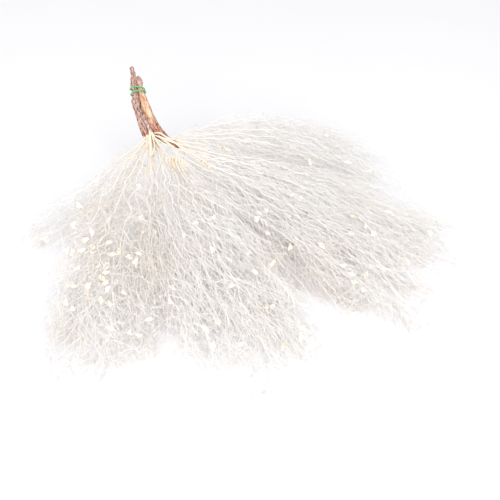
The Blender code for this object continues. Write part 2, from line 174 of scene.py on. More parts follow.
# The woody stems, from the cut end down to where their sprays start.
STEMS = {
    "woody_stem_left": [
        Knot(0.1, 0.6, 81.7, 1.75),
        Knot(-0.3, 0.7, 74.0, 1.85),
        Knot(-1.8, 0.8, 68.5, 2.0),
        Knot(-2.6, 0.9, 62.5, 2.2),
        Knot(-3.2, 0.8, 56.4, 2.0),
        Knot(-4.2, 0.6, 50.0, 2.3),
        Knot(-5.5, 0.5, 43.6, 3.6),
        Knot(-5.7, 0.5, 39.5, 3.1),
        Knot(-6.1, 0.7, 33.0, 2.5),
        Knot(-6.1, 0.8, 22.0, 2.5),
        Knot(-5.2, 0.8, 13.0, 2.8),
        Knot(-4.2, 1.0, 2.0, 2.9),
    ],
    "woody_stem_right": [
        Knot(2.7, 0.3, 70.3, 1.4),
        Knot(3.3, 0.3, 63.5, 2.2),
        Knot(2.8, 0.2, 57.0, 2.1),
        Knot(2.6, 0.4, 50.0, 2.6),
        Knot(2.9, 0.8, 43.0, 3.3),
        Knot(3.0, 0.9, 36.0, 3.7),
        Knot(3.6, 0.9, 29.0, 3.8),
        Knot(4.9, 0.9, 21.0, 3.8),
        Knot(6.6, 1.0, 12.7, 4.0),
        Knot(9.1, 2.2, 3.2, 4.2),
        Knot(13.2, 4.8, -6.0, 3.7),
        Knot(21.6, 8.4, -14.8, 3.2),
    ],
    "woody_stem_middle": [
        Knot(-3.0, -3.9, 65.5, 1.5),
        Knot(-2.0, -4.2, 56.0, 1.7),
        Knot(-2.2, -4.8, 47.0, 2.0),
        Knot(-2.6, -5.0, 39.0, 2.0),
        Knot(-2.6, -4.2, 32.0, 2.1),
        Knot(-1.4, -4.1, 25.0, 2.4),
        Knot(0.8, -4.4, 17.0, 2.6),
        Knot(2.3, -4.4, 9.0, 2.7),
        Knot(3.0, -3.9, 2.0, 2.7),
    ],
    "woody_stem_rear": [
        Knot(2.6, -4.0, 63.5, 1.5),
        Knot(2.2, -4.6, 56.0, 1.6),
        Knot(2.6, -5.8, 47.0, 1.9),
        Knot(3.4, -6.9, 39.0, 2.1),
        Knot(4.4, -7.8, 30.0, 2.2),
        Knot(6.2, -8.4, 21.0, 2.3),
        Knot(8.6, -8.4, 11.0, 2.5),
        Knot(11.5, -7.2, 2.0, 2.6),
    ],
}


class Spray(NamedTuple):
    """A spray: the stem it grows on and where it lies.

    Its culms keep to a sector round its heading, which turns by the curl towards the tips;
    these are in degrees. Its reach and rise are in millimetres, and the fall is the power by
    which its ridge comes down along its reach. The root is how far its culms start up the
    stem from the end, in millimetres. The girth scales the thickness of all its strands.
    """

    stem: str
    heading: float
    curl: float
    half_sector: float
    reach: float
    fall: float
    rise: float
    root: float
    girth: float
    culms: int
    seed: int


SPRAYS = {
    "spray_left": Spray("woody_stem_left", 209.0, -7.0, 26.0, 150.0, 1.05, 2.0, 2.5, 0.85, 2, 101),
    "spray_front_left": Spray("woody_stem_left", 255.0, 8.0, 22.0, 268.0, 1.6, 3.0, 2.5, 1.0, 6, 102),
    "spray_front": Spray("woody_stem_middle", 294.5, 0.0, 20.5, 298.0, 1.5, 6.0, 2.5, 1.0, 7, 103),
    "spray_right_front": Spray(
        "woody_stem_right", 329.0, -1.5, 11.2, 342.0, 1.35, 4.0, 18.0, 0.9, 6, 104
    ),
    "spray_right": Spray(
        "woody_stem_right", 349.0, -1.0, 13.0, 328.0, 1.3, 10.0, 21.0, 0.82, 7, 105
    ),
    "spray_back": Spray("woody_stem_rear", 27.0, -8.0, 22.5, 290.0, 1.6, 15.0, 4.0, 0.78, 6, 106),
}


class Level(NamedTuple):
    """One generation of strands: how many leave each parent, and how they run.

    The first leaves at this share of the parent, and the last near its tip. The length is a
    share of the parent's, or for the first generation of the spray's reach. The angle to the
    parent and the bend to one side at each step are in degrees. The pulls turn a strand
    outwards, down and at random at each step. The radii are in millimetres, and the tan is
    how tan the strands are, from 0 to 1.
    """

    per_parent: int
    steps: int
    first: float
    shortest: float
    longest: float
    least_angle: float
    most_angle: float
    bend: float
    outward: float
    droop: float
    kink: float
    root_radius: float
    tip_radius: float
    tan: float


# A culm's steps, and its radii in millimetres where it starts and at its tip.
CULM_STEPS = 24
CULM_ROOT_RADIUS = 0.62
CULM_TIP_RADIUS = 0.22
# The branchlets, and two generations of forks.
LEVELS = [
    Level(19, 12, 0.14, 0.26, 0.50, 18.0, 48.0, 6.5, 0.045, 0.035, 0.10, 0.225, 0.16, 0.05),
    Level(7, 8, 0.10, 0.30, 0.66, 28.0, 64.0, 8.0, 0.03, 0.045, 0.11, 0.195, 0.14, 0.02),
    Level(2, 5, 0.20, 0.35, 0.80, 28.0, 66.0, 9.0, 0.01, 0.045, 0.13, 0.16, 0.11, 0.0),
]
# The web of fine strands that leave the culms at wide angles, and their forks.
WEB = [
    Level(12, 10, 0.14, 0.10, 0.32, 24.0, 68.0, 7.5, 0.04, 0.02, 0.11, 0.21, 0.145, 0.03),
    Level(6, 6, 0.12, 0.30, 0.75, 24.0, 60.0, 9.0, 0.015, 0.03, 0.12, 0.175, 0.12, 0.0),
]
# Single long hairs that curl away from the culms.
HAIRS = Level(4, 14, 0.08, 0.10, 0.24, 30.0, 80.0, 11.0, 0.0, 0.01, 0.16, 0.13, 0.07, 0.0)


def linear(hex_colour):
    """An sRGB hex colour as scene-linear RGBA."""
    values = [int(hex_colour[i : i + 2], 16) / 255.0 for i in (1, 3, 5)]
    colour = [v / 12.92 if v <= 0.04045 else ((v + 0.055) / 1.055) ** 2.4 for v in values]
    return (*colour, 1.0)


def unit(vectors):
    """The vectors scaled to a length of one."""
    return vectors / np.maximum(np.linalg.norm(vectors, axis=-1, keepdims=True), 1e-12)


def heading_vector(degrees):
    """Level unit vectors at headings in degrees, from the right towards the back."""
    angle = np.radians(degrees)
    return np.stack([np.cos(angle), np.sin(angle), np.zeros_like(angle)], axis=-1)


def stalk_axes():
    """Unit vectors of the stalk: across it, towards the viewer, and up it to the cut ends."""
    tilt = math.radians(STALK_TILT)
    along = heading_vector(STALK_AZIMUTH) * math.cos(tilt) + UP * math.sin(tilt)
    across = unit(np.cross(along, UP))
    return across, np.cross(across, along), along


STALK_ACROSS, STALK_FRONT, STALK_ALONG = stalk_axes()


def stalk_point(across, front, along):
    """The point this many millimetres across the stalk, towards the viewer and up it."""
    return COLLAR + (STALK_ACROSS * across + STALK_FRONT * front + STALK_ALONG * along) * MM


def travelled_along(points):
    """How far along the line through them each of the points lies."""
    steps = np.linalg.norm(np.diff(points[:, :3], axis=0), axis=1)
    return np.concatenate([[0.0], np.cumsum(steps)])


def smooth_run(points, count):
    """Evenly spaced points on a Catmull-Rom curve through the given ones."""
    points = np.asarray(points, dtype=float)
    padded = np.vstack([2 * points[0] - points[1], points, 2 * points[-1] - points[-2]])
    fine = []
    for i in range(len(points) - 1):
        a, b, c, d = padded[i : i + 4]
        for t in np.linspace(0.0, 1.0, SMOOTH_STEPS, endpoint=False):
            cubic = 2 * a - 5 * b + 4 * c - d + t * (3 * (b - c) + d - a)
            fine.append(b + 0.5 * t * (c - a + t * cubic))
    fine = np.array([*fine, points[-1]])
    travelled = travelled_along(fine)
    wanted = travelled[-1] * np.linspace(0.0, 1.0, count)
    return np.column_stack([np.interp(wanted, travelled, column) for column in fine.T])


def add_object(name, data):
    """An object with this data, linked to the scene."""
    made = bpy.data.objects.new(name, data)
    bpy.context.scene.collection.objects.link(made)
    return made


def fill_inputs(tree, node, inputs):
    """Fill a node's inputs with values, with sockets or with the first outputs of nodes."""
    for name, value in inputs.items():
        if isinstance(value, bpy.types.Node):
            value = value.outputs[0]
        if isinstance(value, bpy.types.NodeSocket):
            tree.links.new(value, node.inputs[name])
        else:
            node.inputs[name].default_value = value


def add_node(tree, kind, inputs=None, stops=(), **settings):
    """Add a node with its settings and inputs, and with the stops of a colour ramp."""
    node = tree.nodes.new(kind)
    for name, value in settings.items():
        setattr(node, name, value)
    fill_inputs(tree, node, inputs or {})
    for _ in stops[2:]:
        node.color_ramp.elements.new(0.5)
    for index, (position, colour) in enumerate(stops):
        node.color_ramp.elements[index].position = position
        node.color_ramp.elements[index].color = colour
    return node


def new_tree(name, sockets):
    """A Geometry Nodes tree, and its inputs: a geometry, the named ones and a material."""
    tree = bpy.data.node_groups.new(name, "GeometryNodeTree")
    sockets = [("Geometry", "Geometry", None), *sockets, ("Material", "Material", None)]
    for label, kind, default in sockets:
        socket = tree.interface.new_socket(label, in_out="INPUT", socket_type="NodeSocket" + kind)
        if default is not None:
            socket.default_value = default
    tree.interface.new_socket("Geometry", in_out="OUTPUT", socket_type="NodeSocketGeometry")
    return tree, add_node(tree, "NodeGroupInput").outputs


def add_tube(tree, line, sides, radius, flatness=1.0):
    """A closed tube along a line, its ring of this many sides flattened by this factor."""
    ring = add_node(tree, "GeometryNodeCurvePrimitiveCircle", {"Resolution": sides, "Radius": 1.0})
    size = (1.0, flatness, 1.0)
    oval = add_node(tree, "GeometryNodeTransform", {"Geometry": ring, "Scale": size})
    inputs = {"Curve": line, "Profile Curve": oval, "Scale": radius, "Fill Caps": True}
    return add_node(tree, "GeometryNodeCurveToMesh", inputs)


def finish_tree(tree, geometry, material, smooth=True):
    """End a tree with its shading, realised instances and its material."""
    inputs = {"Geometry": geometry, "Shade Smooth": smooth}
    shaded = add_node(tree, "GeometryNodeSetShadeSmooth", inputs)
    real = add_node(tree, "GeometryNodeRealizeInstances", {"Geometry": shaded})
    painted = add_node(tree, "GeometryNodeSetMaterial", {"Geometry": real, "Material": material})
    add_node(tree, "NodeGroupOutput", {"Geometry": painted})
    return tree


def run_tree(host, tree, values):
    """Run a tree on the object's mesh with these inputs, and keep the result as its mesh."""
    modifier = host.modifiers.new(tree.name, "NODES")
    modifier.node_group = tree
    for item in tree.interface.items_tree:
        if item.item_type == "SOCKET" and item.in_out == "INPUT" and item.name in values:
            modifier[item.identifier] = values[item.name]
    graph = bpy.context.evaluated_depsgraph_get()
    made = bpy.data.meshes.new_from_object(host.evaluated_get(graph))
    host.modifiers.clear()
    old = host.data
    host.data = made
    bpy.data.meshes.remove(old)
    if not made.polygons:
        raise RuntimeError(f"{host.name} came out with no faces")


def line_object(name, runs, attributes):
    """An object of separate open lines, with a named number at each of their points."""
    points = np.concatenate(runs)
    ends = np.cumsum([len(run) for run in runs])
    starts = np.delete(np.arange(len(points)), ends - 1)
    mesh = bpy.data.meshes.new(name)
    mesh.from_pydata(points, np.column_stack([starts, starts + 1]), [])
    for label, values in attributes.items():
        layer = mesh.attributes.new(label, "FLOAT", "POINT")
        layer.data.foreach_set("value", np.concatenate(values))
    return add_object(name, mesh)


def dress(piece, slot, *nodes):
    """Fix a finished piece to the frame's body, with its finish and the nodes it stands for."""
    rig.ride(piece, BODY)
    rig.slot(piece, slot)
    if nodes:
        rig.replaces(piece, *nodes)


# The materials


def new_material(name):
    """A node material, its tree and its Object coordinates."""
    material = bpy.data.materials.new(name)
    material.use_nodes = True
    place = add_node(material.node_tree, "ShaderNodeTexCoord").outputs["Object"]
    return material, material.node_tree, place


def finish_material(material, inputs):
    """The material, with the inputs of its shader filled."""
    fill_inputs(material.node_tree, material.node_tree.nodes["Principled BSDF"], inputs)
    return material


# How often the bark's patterns repeat in a metre: across the stem both ways, and along it. A
# crack is about 0.8 mm across and 5 mm long, a streak 2.4 mm by 28 mm, and a speck 0.7 mm.
BARK_PATTERNS = {
    "cracks": (1200.0, 1200.0, 200.0),
    "streaks": (420.0, 420.0, 36.0),
    "specks": (1500.0, 1500.0, 1500.0),
}
# Bare wood begins to show at the first of these levels of the bark's noise and is all bare at
# the second. Both lie lower by this much on a stem that is peeled all over.
BARE_FROM = 0.60
BARE_TO = 0.70
PEELED_LOWER = 0.24
# The flare widens the cracks by pulling the noise down by this much, and reddens by this share.
FLARE_CRACKS = 0.07
FLARE_RED = 0.75
# The specks darken the bark by this share.
SPECK_SHARE = 0.7


def bark_material(name, settings, bark):
    """Dried woody bark: shrunken into ridges, cracked along the stem, peeled smooth in streaks.

    The eye gets a pale, pinkish brown skin with dark cracks and specks and, where it has
    peeled, warm bare wood in streaks. Towards the lower end it turns rough and red-brown.
    """
    material, tree, place = new_material(name)
    turn = (0.0, math.radians(90.0 - STALK_TILT), math.radians(STALK_AZIMUTH))
    inputs = {"Vector": place, "Rotation": turn}
    turned = add_node(tree, "ShaderNodeMapping", inputs, vector_type="TEXTURE")
    noises = {}
    for label, scale in BARK_PATTERNS.items():
        stretched = add_node(tree, "ShaderNodeMapping", {"Vector": turned, "Scale": scale})
        inputs = {"Vector": stretched, "Scale": 1.0, "Detail": 4.0, "Roughness": 0.6}
        noises[label] = add_node(tree, "ShaderNodeTexNoise", inputs)
    flare = add_node(tree, "ShaderNodeAttribute", attribute_name="flare").outputs["Fac"]
    kept = add_node(tree, "ShaderNodeAttribute", attribute_name="kept").outputs["Fac"]
    inputs = {0: flare, 1: -FLARE_CRACKS, 2: noises["cracks"]}
    sunk = add_node(tree, "ShaderNodeMath", inputs, operation="MULTIPLY_ADD")
    ramps = {
        "skin": (sunk, (0.38, bark.crack), (0.46, bark.skin), (0.6, bark.pale)),
        "wood": (
            noises["streaks"], (0.34, bark.streak), (0.5, bark.wood), (0.66, settings.pale_wood)
        ),
        "red": (
            sunk, (0.33, settings.fissure), (0.45, settings.red_bark), (0.6, settings.pale_bark)
        ),
        "specks": (noises["specks"], (0.36, settings.speck), (0.44, (1.0, 1.0, 1.0, 1.0))),
    }
    colours = {
        label: add_node(tree, "ShaderNodeValToRGB", {"Fac": factor}, stops)
        for label, (factor, *stops) in ramps.items()
    }
    lower = PEELED_LOWER * bark.peeled
    inputs = {"Value": sunk, "From Min": BARE_FROM - lower, "From Max": BARE_TO - lower}
    bare = add_node(tree, "ShaderNodeMapRange", inputs)
    shed = add_node(tree, "ShaderNodeMath", {0: 1.0, 1: kept}, operation="SUBTRACT", use_clamp=True)
    shown = add_node(tree, "ShaderNodeMath", {0: bare, 1: shed}, operation="MULTIPLY")
    reddened = add_node(tree, "ShaderNodeMath", {0: flare, 1: FLARE_RED}, operation="MULTIPLY")
    layers = (
        (shown, colours["wood"], "MIX"),
        (reddened, colours["red"], "MIX"),
        (SPECK_SHARE, colours["specks"], "MULTIPLY"),
    )
    colour = colours["skin"].outputs["Color"]
    for share, over, blend in layers:
        inputs = {"Factor": share, 6: colour, 7: over}
        mix = add_node(tree, "ShaderNodeMix", inputs, data_type="RGBA", blend_type=blend)
        colour = mix.outputs[2]
    inputs = {"Height": noises["cracks"], "Strength": 0.9, "Distance": 0.6 * MM}
    bump = add_node(tree, "ShaderNodeBump", inputs)
    inputs = {"Base Color": colour, "Normal": bump, "Roughness": 0.78, "Specular IOR Level": 0.3}
    return finish_material(material, inputs)


def grass_material(settings):
    """Bleached, dried grass: matte plant fibre with the green and most of the brown taken out.

    The eye gets ivory strands that turn creamier and tan where they are stouter or nearer the stems,
    in soft blotches about 55 mm wide, with a faint silkiness. Deeper in the sprays they turn
    creamier and tan as painted shade.
    """
    material, tree, place = new_material("Bleached dried grass")
    tan = add_node(tree, "ShaderNodeAttribute", attribute_name="tan").outputs["Fac"]
    blotch = add_node(tree, "ShaderNodeTexNoise", {"Vector": place, "Scale": 18.0, "Detail": 3.0})
    mixed = add_node(tree, "ShaderNodeMath", {0: blotch, 1: 0.5, 2: tan}, operation="MULTIPLY_ADD")
    stops = ((0.25, settings.ivory), (0.6, settings.cream), (0.95, settings.tan))
    colour = add_node(tree, "ShaderNodeValToRGB", {"Fac": mixed}, stops)
    inputs = {"Base Color": colour, "Roughness": 0.6, "Specular IOR Level": 0.35}
    return finish_material(material, inputs)


def bract_material(settings):
    """Papery bract: thin, dry and stiff, with ribs about 1 mm apart.

    The eye gets little cups, each in its own tone from nearly white to a pale tan.
    """
    material, tree, place = new_material("Papery bract")
    tan = add_node(tree, "ShaderNodeAttribute", attribute_name="tan").outputs["Fac"]
    stops = ((0.0, settings.bract_pale), (1.0, settings.bract_tan))
    colour = add_node(tree, "ShaderNodeValToRGB", {"Fac": tan}, stops)
    ribs = add_node(tree, "ShaderNodeTexNoise", {"Vector": place, "Scale": 900.0, "Detail": 2.0})
    bump = add_node(tree, "ShaderNodeBump", {"Height": ribs, "Strength": 0.3, "Distance": 0.3 * MM})
    return finish_material(material, {"Base Color": colour, "Normal": bump, "Roughness": 0.55})


def sheath_material(settings):
    """Leaf sheath: dried to stiff ribs, less bleached than the strands.

    The eye gets cream ribs with browner folds between them, mottled about 2 mm wide.
    """
    material, tree, place = new_material("Dried leaf sheath")
    folds = add_node(tree, "ShaderNodeTexNoise", {"Vector": place, "Scale": 500.0, "Detail": 3.0})
    tan = add_node(tree, "ShaderNodeAttribute", attribute_name="tan").outputs["Fac"]
    mixed = add_node(tree, "ShaderNodeMath", {0: tan, 1: -0.3, 2: folds}, operation="MULTIPLY_ADD")
    stops = ((0.18, settings.sheath_fold), (0.42, settings.sheath))
    colour = add_node(tree, "ShaderNodeValToRGB", {"Fac": mixed}, stops)
    return finish_material(material, {"Base Color": colour, "Roughness": 0.65})


def tie_material(settings):
    """Green paper wound tightly over garden wire.

    The eye gets matte green with creases about 0.7 mm apart, darker where they sink in.
    """
    material, tree, place = new_material("Green paper on wire")
    creases = add_node(tree, "ShaderNodeTexNoise", {"Vector": place, "Scale": 1400.0, "Detail": 3.0})
    stops = ((0.35, settings.shaded_green), (0.7, settings.paper_green))
    colour = add_node(tree, "ShaderNodeValToRGB", {"Fac": creases}, stops)
    inputs = {"Height": creases, "Strength": 0.5, "Distance": 0.2 * MM}
    bump = add_node(tree, "ShaderNodeBump", inputs)
    return finish_material(material, {"Base Color": colour, "Normal": bump, "Roughness": 0.5})


def floor_material(settings):
    """Matte white studio paper, even but for a breath of tone about 170 mm wide."""
    material, tree, place = new_material("White studio paper")
    tone = add_node(tree, "ShaderNodeTexNoise", {"Vector": place, "Scale": 6.0, "Detail": 2.0})
    stops = ((0.0, settings.floor_colour), (1.0, settings.floor_light))
    colour = add_node(tree, "ShaderNodeValToRGB", {"Fac": tone}, stops)
    inputs = {"Base Color": colour, "Roughness": 0.95, "Specular IOR Level": 0.1}
    return finish_material(material, inputs)


# The settings


def colour_property(name, description, hex_colour):
    """A colour setting that starts at this hex colour."""
    return FloatVectorProperty(
        name=name, description=description, subtype="COLOR", size=4, default=linear(hex_colour)
    )


def length_property(name, description, length):
    """A length setting that starts at this length."""
    return FloatProperty(
        name=name, description=description, default=length, unit="LENGTH", precision=5
    )


class StalkSettings(PropertyGroup):
    """Sizes and colours of the woody stems."""

    sides: IntProperty(name="Sides", description="Points round each stem", default=36, min=8)
    ridge_height: length_property("Ridge Height", "How far the bark stands in and out", 0.75 * MM)
    fissure: colour_property("Fissures", "Colour deep in the red bark's cracks", "#6B3A2C")
    red_bark: colour_property("Red Bark", "Colour of the rough bark at the lower end", "#B5785F")
    pale_bark: colour_property("Pale Bark", "Colour of the bark's raised flakes", "#DDB9A4")
    pale_wood: colour_property("Pale Wood", "Colour of the palest streaks of bare wood", "#F2DAC2")
    speck: colour_property("Specks", "Colour of the small dark specks", "#8A5A4C")


class TieSettings(PropertyGroup):
    """Sizes and colours of the green tie."""

    wire_radius: length_property("Wire Radius", "Radius of the wire with its paper", 0.9 * MM)
    paper_green: colour_property("Paper", "Colour of the green paper", "#96DFA2")
    shaded_green: colour_property("Shaded Paper", "Colour of the paper in its creases", "#2F8F49")


class GrassSettings(PropertyGroup):
    """Sizes and colours of the sprays and their bracts."""

    thickness: FloatProperty(
        name="Thickness", description="Scales every strand's radius", default=1.0, min=0.1
    )
    waviness: length_property("Waviness", "How far strands stray from side to side", 0.4 * MM)
    bract_length: length_property("Bract Length", "Length of a papery bract", 5.6 * MM)
    ivory: colour_property("Ivory", "Colour of the finest, most bleached strands", "#FBF9F7")
    # The deeper strands turn towards cream and tan as painted shade.
    cream: colour_property("Cream", "Colour of the stouter and the deeper strands", "#F7EEE5")
    tan: colour_property("Tan", "Colour of the culms near the stems", "#EADDCA")
    bract_pale: colour_property("Bract Pale", "Colour of the most bleached bracts", "#F6EFE6")
    bract_tan: colour_property("Bract Tan", "Colour of the least bleached bracts", "#E8DECE")
    sheath: colour_property("Sheath", "Colour of the dried leaf sheaths", "#F2E8DA")
    sheath_fold: colour_property("Sheath Folds", "Colour in the folds of the sheaths", "#CDB28C")


class StageSettings(PropertyGroup):
    """The floor, the light and the camera."""

    floor_size: FloatProperty(
        name="Floor Size", description="Side of the square floor", default=8.0, unit="LENGTH"
    )
    floor_colour: colour_property("Floor", "Colour of the paper floor", "#E8E8EB")
    floor_light: colour_property("Floor Light", "Colour of the paper where it is lightest", "#EBEBEE")
    sky_strength: FloatProperty(
        name="Sky Strength", description="Strength of the even white light", default=0.65
    )
    key_power: FloatProperty(
        name="Key Power", description="Power of the soft light above", default=3.2, unit="POWER"
    )
    fill_power: FloatProperty(
        name="Fill Power", description="Power of the soft light in front", default=418.0, unit="POWER"
    )
    lens: FloatProperty(name="Lens", description="Focal length in millimetres", default=72.0)


# The stalk

STEM_RING_STEP = 0.7 * MM
# The bark hasn't peeled this far down from the cut ends, in millimetres.
TOP_BARK = 15.0
# The bark stands out further this far down, in millimetres, on the stems that have a crown.
CROWN_LENGTH = 10.0
# The flare, and these two at the top, fade out over these shares of their lengths.
FLARE_FADE = 0.4
TOP_FADE = 0.3
# Bark that is peeled all over is smoother by this share.
PEELED_SMOOTHER = 0.3


class Bark(NamedTuple):
    """How a stem's bark looks: its slot, share peeled, growth in millimetres and colours.

    The growth is how far the shaggy bark stands out all round, and the crown how much further
    at the cut end. The flare is how far up from its lower end the stem is rough and red.
    """

    slot: str
    peeled: float
    growth: float
    crown: float
    flare: float
    crack: tuple
    skin: tuple
    pale: tuple
    wood: tuple
    streak: tuple


def bark_of(slot, peeled, growth, crown, flare, *hex_colours):
    """A stem's bark from its slot, its numbers and its colours as hex values."""
    return Bark(slot, peeled, growth, crown, flare, *(linear(colour) for colour in hex_colours))


BARKS = {
    "woody_stem_left": bark_of(
        "bark_left", 0.25, 0.35, 0.0, 9.0, "#512F29", "#A87F72", "#D3B9AF", "#DCC2B2", "#A87A68"
    ),
    "woody_stem_right": bark_of(
        "bark_right", 0.95, 0.4, 1.0, 46.0, "#74453A", "#B5877A", "#DABFB0", "#EBC29F", "#BE7F57"
    ),
    "woody_stem_middle": bark_of(
        "bark_inner", 0.35, 0.9, 0.0, 8.0, "#64423A", "#BCA098", "#DACCCB", "#DCCFCE", "#B0938B"
    ),
    "woody_stem_rear": bark_of(
        "bark_inner", 0.2, 0.7, 0.0, 22.0, "#7A4C3E", "#BC9080", "#D9BBAA", "#DDBFA6", "#B98A70"
    ),
}


def stem_run(name):
    """Points a ring's step apart along a woody stem, each with its radius."""
    rows = [(*stalk_point(k.across, k.front, k.along), k.radius * MM) for k in STEMS[name]]
    length = travelled_along(np.array(rows))[-1]
    return smooth_run(rows, int(round(length / STEM_RING_STEP)) + 1)


# Long ridges, lumps and fine grain: how often each repeats in a metre, and its share.
BARK_WAVES = (
    ((520.0, 520.0, 110.0), 1.0),
    ((330.0, 330.0, 250.0), 0.9),
    ((1500.0, 1500.0, 520.0), 0.5),
)
# Noise keeps to about a third of its range, so what it moves is moved this many times as far.
NOISE_SWING = 3.0


def bark_tree():
    """A tube along each line, pushed in and out by long ridges, lumps and fine grain."""
    sockets = [
        ("Sides", "Int", 36),
        ("Ridge Height", "Float", 0.4 * MM),
        ("Seed", "Float", 0.0),
    ]
    tree, given = new_tree("Bark Stem", sockets)
    line = add_node(tree, "GeometryNodeMeshToCurve", {"Mesh": given["Geometry"]})
    inputs = {"Name": "thickness"}
    thickness = add_node(tree, "GeometryNodeInputNamedAttribute", inputs, data_type="FLOAT")
    tube = add_tube(tree, line, given["Sides"], thickness)
    # The waves run along the stalk, so places are turned back to an upright one.
    turned = add_node(tree, "GeometryNodeInputPosition")
    turns = (((0.0, 0.0, 1.0), STALK_AZIMUTH), ((0.0, 1.0, 0.0), 90.0 - STALK_TILT))
    for axis, angle in turns:
        inputs = {"Vector": turned, "Axis": axis, "Angle": -math.radians(angle)}
        turned = add_node(tree, "ShaderNodeVectorRotate", inputs)
    total = 0.0
    for scale, share in BARK_WAVES:
        inputs = {0: turned, 1: scale}
        stretched = add_node(tree, "ShaderNodeVectorMath", inputs, operation="MULTIPLY")
        inputs = {"Vector": stretched, "W": given["Seed"], "Scale": 1.0, "Detail": 3.0}
        noise = add_node(tree, "ShaderNodeTexNoise", inputs, noise_dimensions="4D")
        centred = add_node(tree, "ShaderNodeMath", {0: noise, 1: 0.5}, operation="SUBTRACT")
        inputs = {0: centred, 1: share, 2: total}
        total = add_node(tree, "ShaderNodeMath", inputs, operation="MULTIPLY_ADD")
    swing = add_node(tree, "ShaderNodeMath", {0: total, 1: NOISE_SWING}, operation="MULTIPLY")
    inputs = {0: swing, 1: given["Ridge Height"]}
    height = add_node(tree, "ShaderNodeMath", inputs, operation="MULTIPLY")
    normal = add_node(tree, "GeometryNodeInputNormal")
    inputs = {0: normal, "Scale": height}
    offset = add_node(tree, "ShaderNodeVectorMath", inputs, operation="SCALE")
    barked = add_node(tree, "GeometryNodeSetPosition", {"Geometry": tube, "Offset": offset})
    return finish_tree(tree, barked, given["Material"])


def faded(distance, length, fade):
    """One at a stem's end and none from this length on, faded over a share of it."""
    return np.clip((length - distance) / (fade * length), 0.0, 1.0)


class BUNDLE_OT_stalk(Operator):
    """Build the four bark-covered woody stems"""

    bl_idname = "bundle.stalk"
    bl_label = "Build Stalk"

    def execute(self, context):
        settings = context.scene.stalk_settings
        tree = bark_tree()
        for number, (name, bark) in enumerate(BARKS.items()):
            run = stem_run(name)
            from_top = np.arange(len(run)) * STEM_RING_STEP / MM
            flare = faded(from_top[::-1], bark.flare, FLARE_FADE)
            crown = bark.crown * faded(from_top, CROWN_LENGTH, TOP_FADE)
            attributes = {
                "thickness": [run[:, 3] + (bark.growth + crown) * MM],
                "flare": [flare],
                "kept": [np.maximum(flare, faded(from_top, TOP_BARK, TOP_FADE))],
            }
            stem = line_object(name + "_bark", [run[:, :3]], attributes)
            smoother = PEELED_SMOOTHER * bark.peeled
            values = {
                "Sides": settings.sides,
                "Ridge Height": settings.ridge_height * (1.0 - smoother),
                "Seed": float(number),
                "Material": bark_material("Bark of " + name.replace("_", " "), settings, bark),
            }
            run_tree(stem, tree, values)
            dress(stem, bark.slot, name)
        return {"FINISHED"}


# The tie

# The tie starts at its angle in degrees, from the stalk's right towards the viewer, and goes
# down past the viewer to the right. Its places are turns, each with the height up the stalk.
TIE_START = 200.0
TIE_PLACES = (0.0, 0.3, 0.55, 0.8, 1.05, 1.3, 1.55, 1.7)
TIE_HEIGHTS = (59.9, 57.3, 55.2, 54.6, 52.7, 52.9, 52.7, 51.2)
TIE_POINTS_PER_TURN = 14
TIE_TWIST_LENGTH = 3.4 * MM
# The smooth wire has this many points for each that it is wound through, and this many sides.
# It clears the stems as if they were thicker by this factor, and is flattened to two lobes.
TIE_FINENESS = 6
WIRE_SIDES = 14
STEM_SPARE = 1.05
WIRE_FLATNESS = 0.6


def stem_sections(along):
    """Where each stem is at one place along the stalk: across, front and radius, in mm."""
    sections = []
    for knots in STEMS.values():
        ordered = sorted(knots, key=lambda knot: knot.along)
        places = [knot.along for knot in ordered]
        if places[0] <= along <= places[-1]:
            columns = zip(*[(knot.across, knot.front, knot.radius) for knot in ordered])
            sections.append([np.interp(along, places, column) for column in columns])
    return np.array(sections)


def tie_run(settings):
    """The wire's middle line, wound round the stems close to their outline."""
    count = int(TIE_PLACES[-1] * TIE_POINTS_PER_TURN) + 1
    points = []
    for index in range(count):
        turn = index / TIE_POINTS_PER_TURN
        angle = math.radians(TIE_START) - 2.0 * math.pi * turn
        along = np.interp(turn, TIE_PLACES, TIE_HEIGHTS)
        way = np.array([math.cos(angle), math.sin(angle)])
        stems = stem_sections(along)
        middle = stems[:, :2].mean(axis=0)
        edge = ((stems[:, :2] - middle) @ way + stems[:, 2] * STEM_SPARE).max()
        spot = middle + way * (edge + (SEAT_GAP + settings.wire_radius) / MM)
        points.append(stalk_point(spot[0], spot[1], along))
    return smooth_run(points, count * TIE_FINENESS)


def wire_tree():
    """A wire of two twisted lobes along each line."""
    sockets = [("Radius", "Float", 0.9 * MM), ("Twist Length", "Float", 3.0 * MM)]
    tree, given = new_tree("Twisted Wire", sockets)
    line = add_node(tree, "GeometryNodeMeshToCurve", {"Mesh": given["Geometry"]})
    along = add_node(tree, "GeometryNodeSplineParameter").outputs["Length"]
    inputs = {0: along, 1: given["Twist Length"]}
    turns = add_node(tree, "ShaderNodeMath", inputs, operation="DIVIDE")
    angle = add_node(tree, "ShaderNodeMath", {0: turns, 1: 2.0 * math.pi}, operation="MULTIPLY")
    twisted = add_node(tree, "GeometryNodeSetCurveTilt", {"Curve": line, "Tilt": angle})
    wire = add_tube(tree, twisted, WIRE_SIDES, given["Radius"], WIRE_FLATNESS)
    return finish_tree(tree, wire, given["Material"])


class BUNDLE_OT_tie(Operator):
    """Build the green paper-covered wire that binds the stalk"""

    bl_idname = "bundle.tie"
    bl_label = "Build Tie"

    def execute(self, context):
        settings = context.scene.tie_settings
        tie = line_object("green_wire_tie", [tie_run(settings)], {})
        values = {
            "Radius": settings.wire_radius,
            "Twist Length": TIE_TWIST_LENGTH,
            "Material": tie_material(settings),
        }
        run_tree(tie, wire_tree(), values)
        dress(tie, "green_wire", "green_tie")
        return {"FINISHED"}


# The sprays

# A spray's half sector narrows along its reach, and its reach shortens to the sides, by these
# shares. The reach is rounded off, and the culms kept, out to this many half sectors.
SECTOR_NARROWING = 0.42
SECTOR_ROUNDING = 0.24
SECTOR_EDGE = 1.2
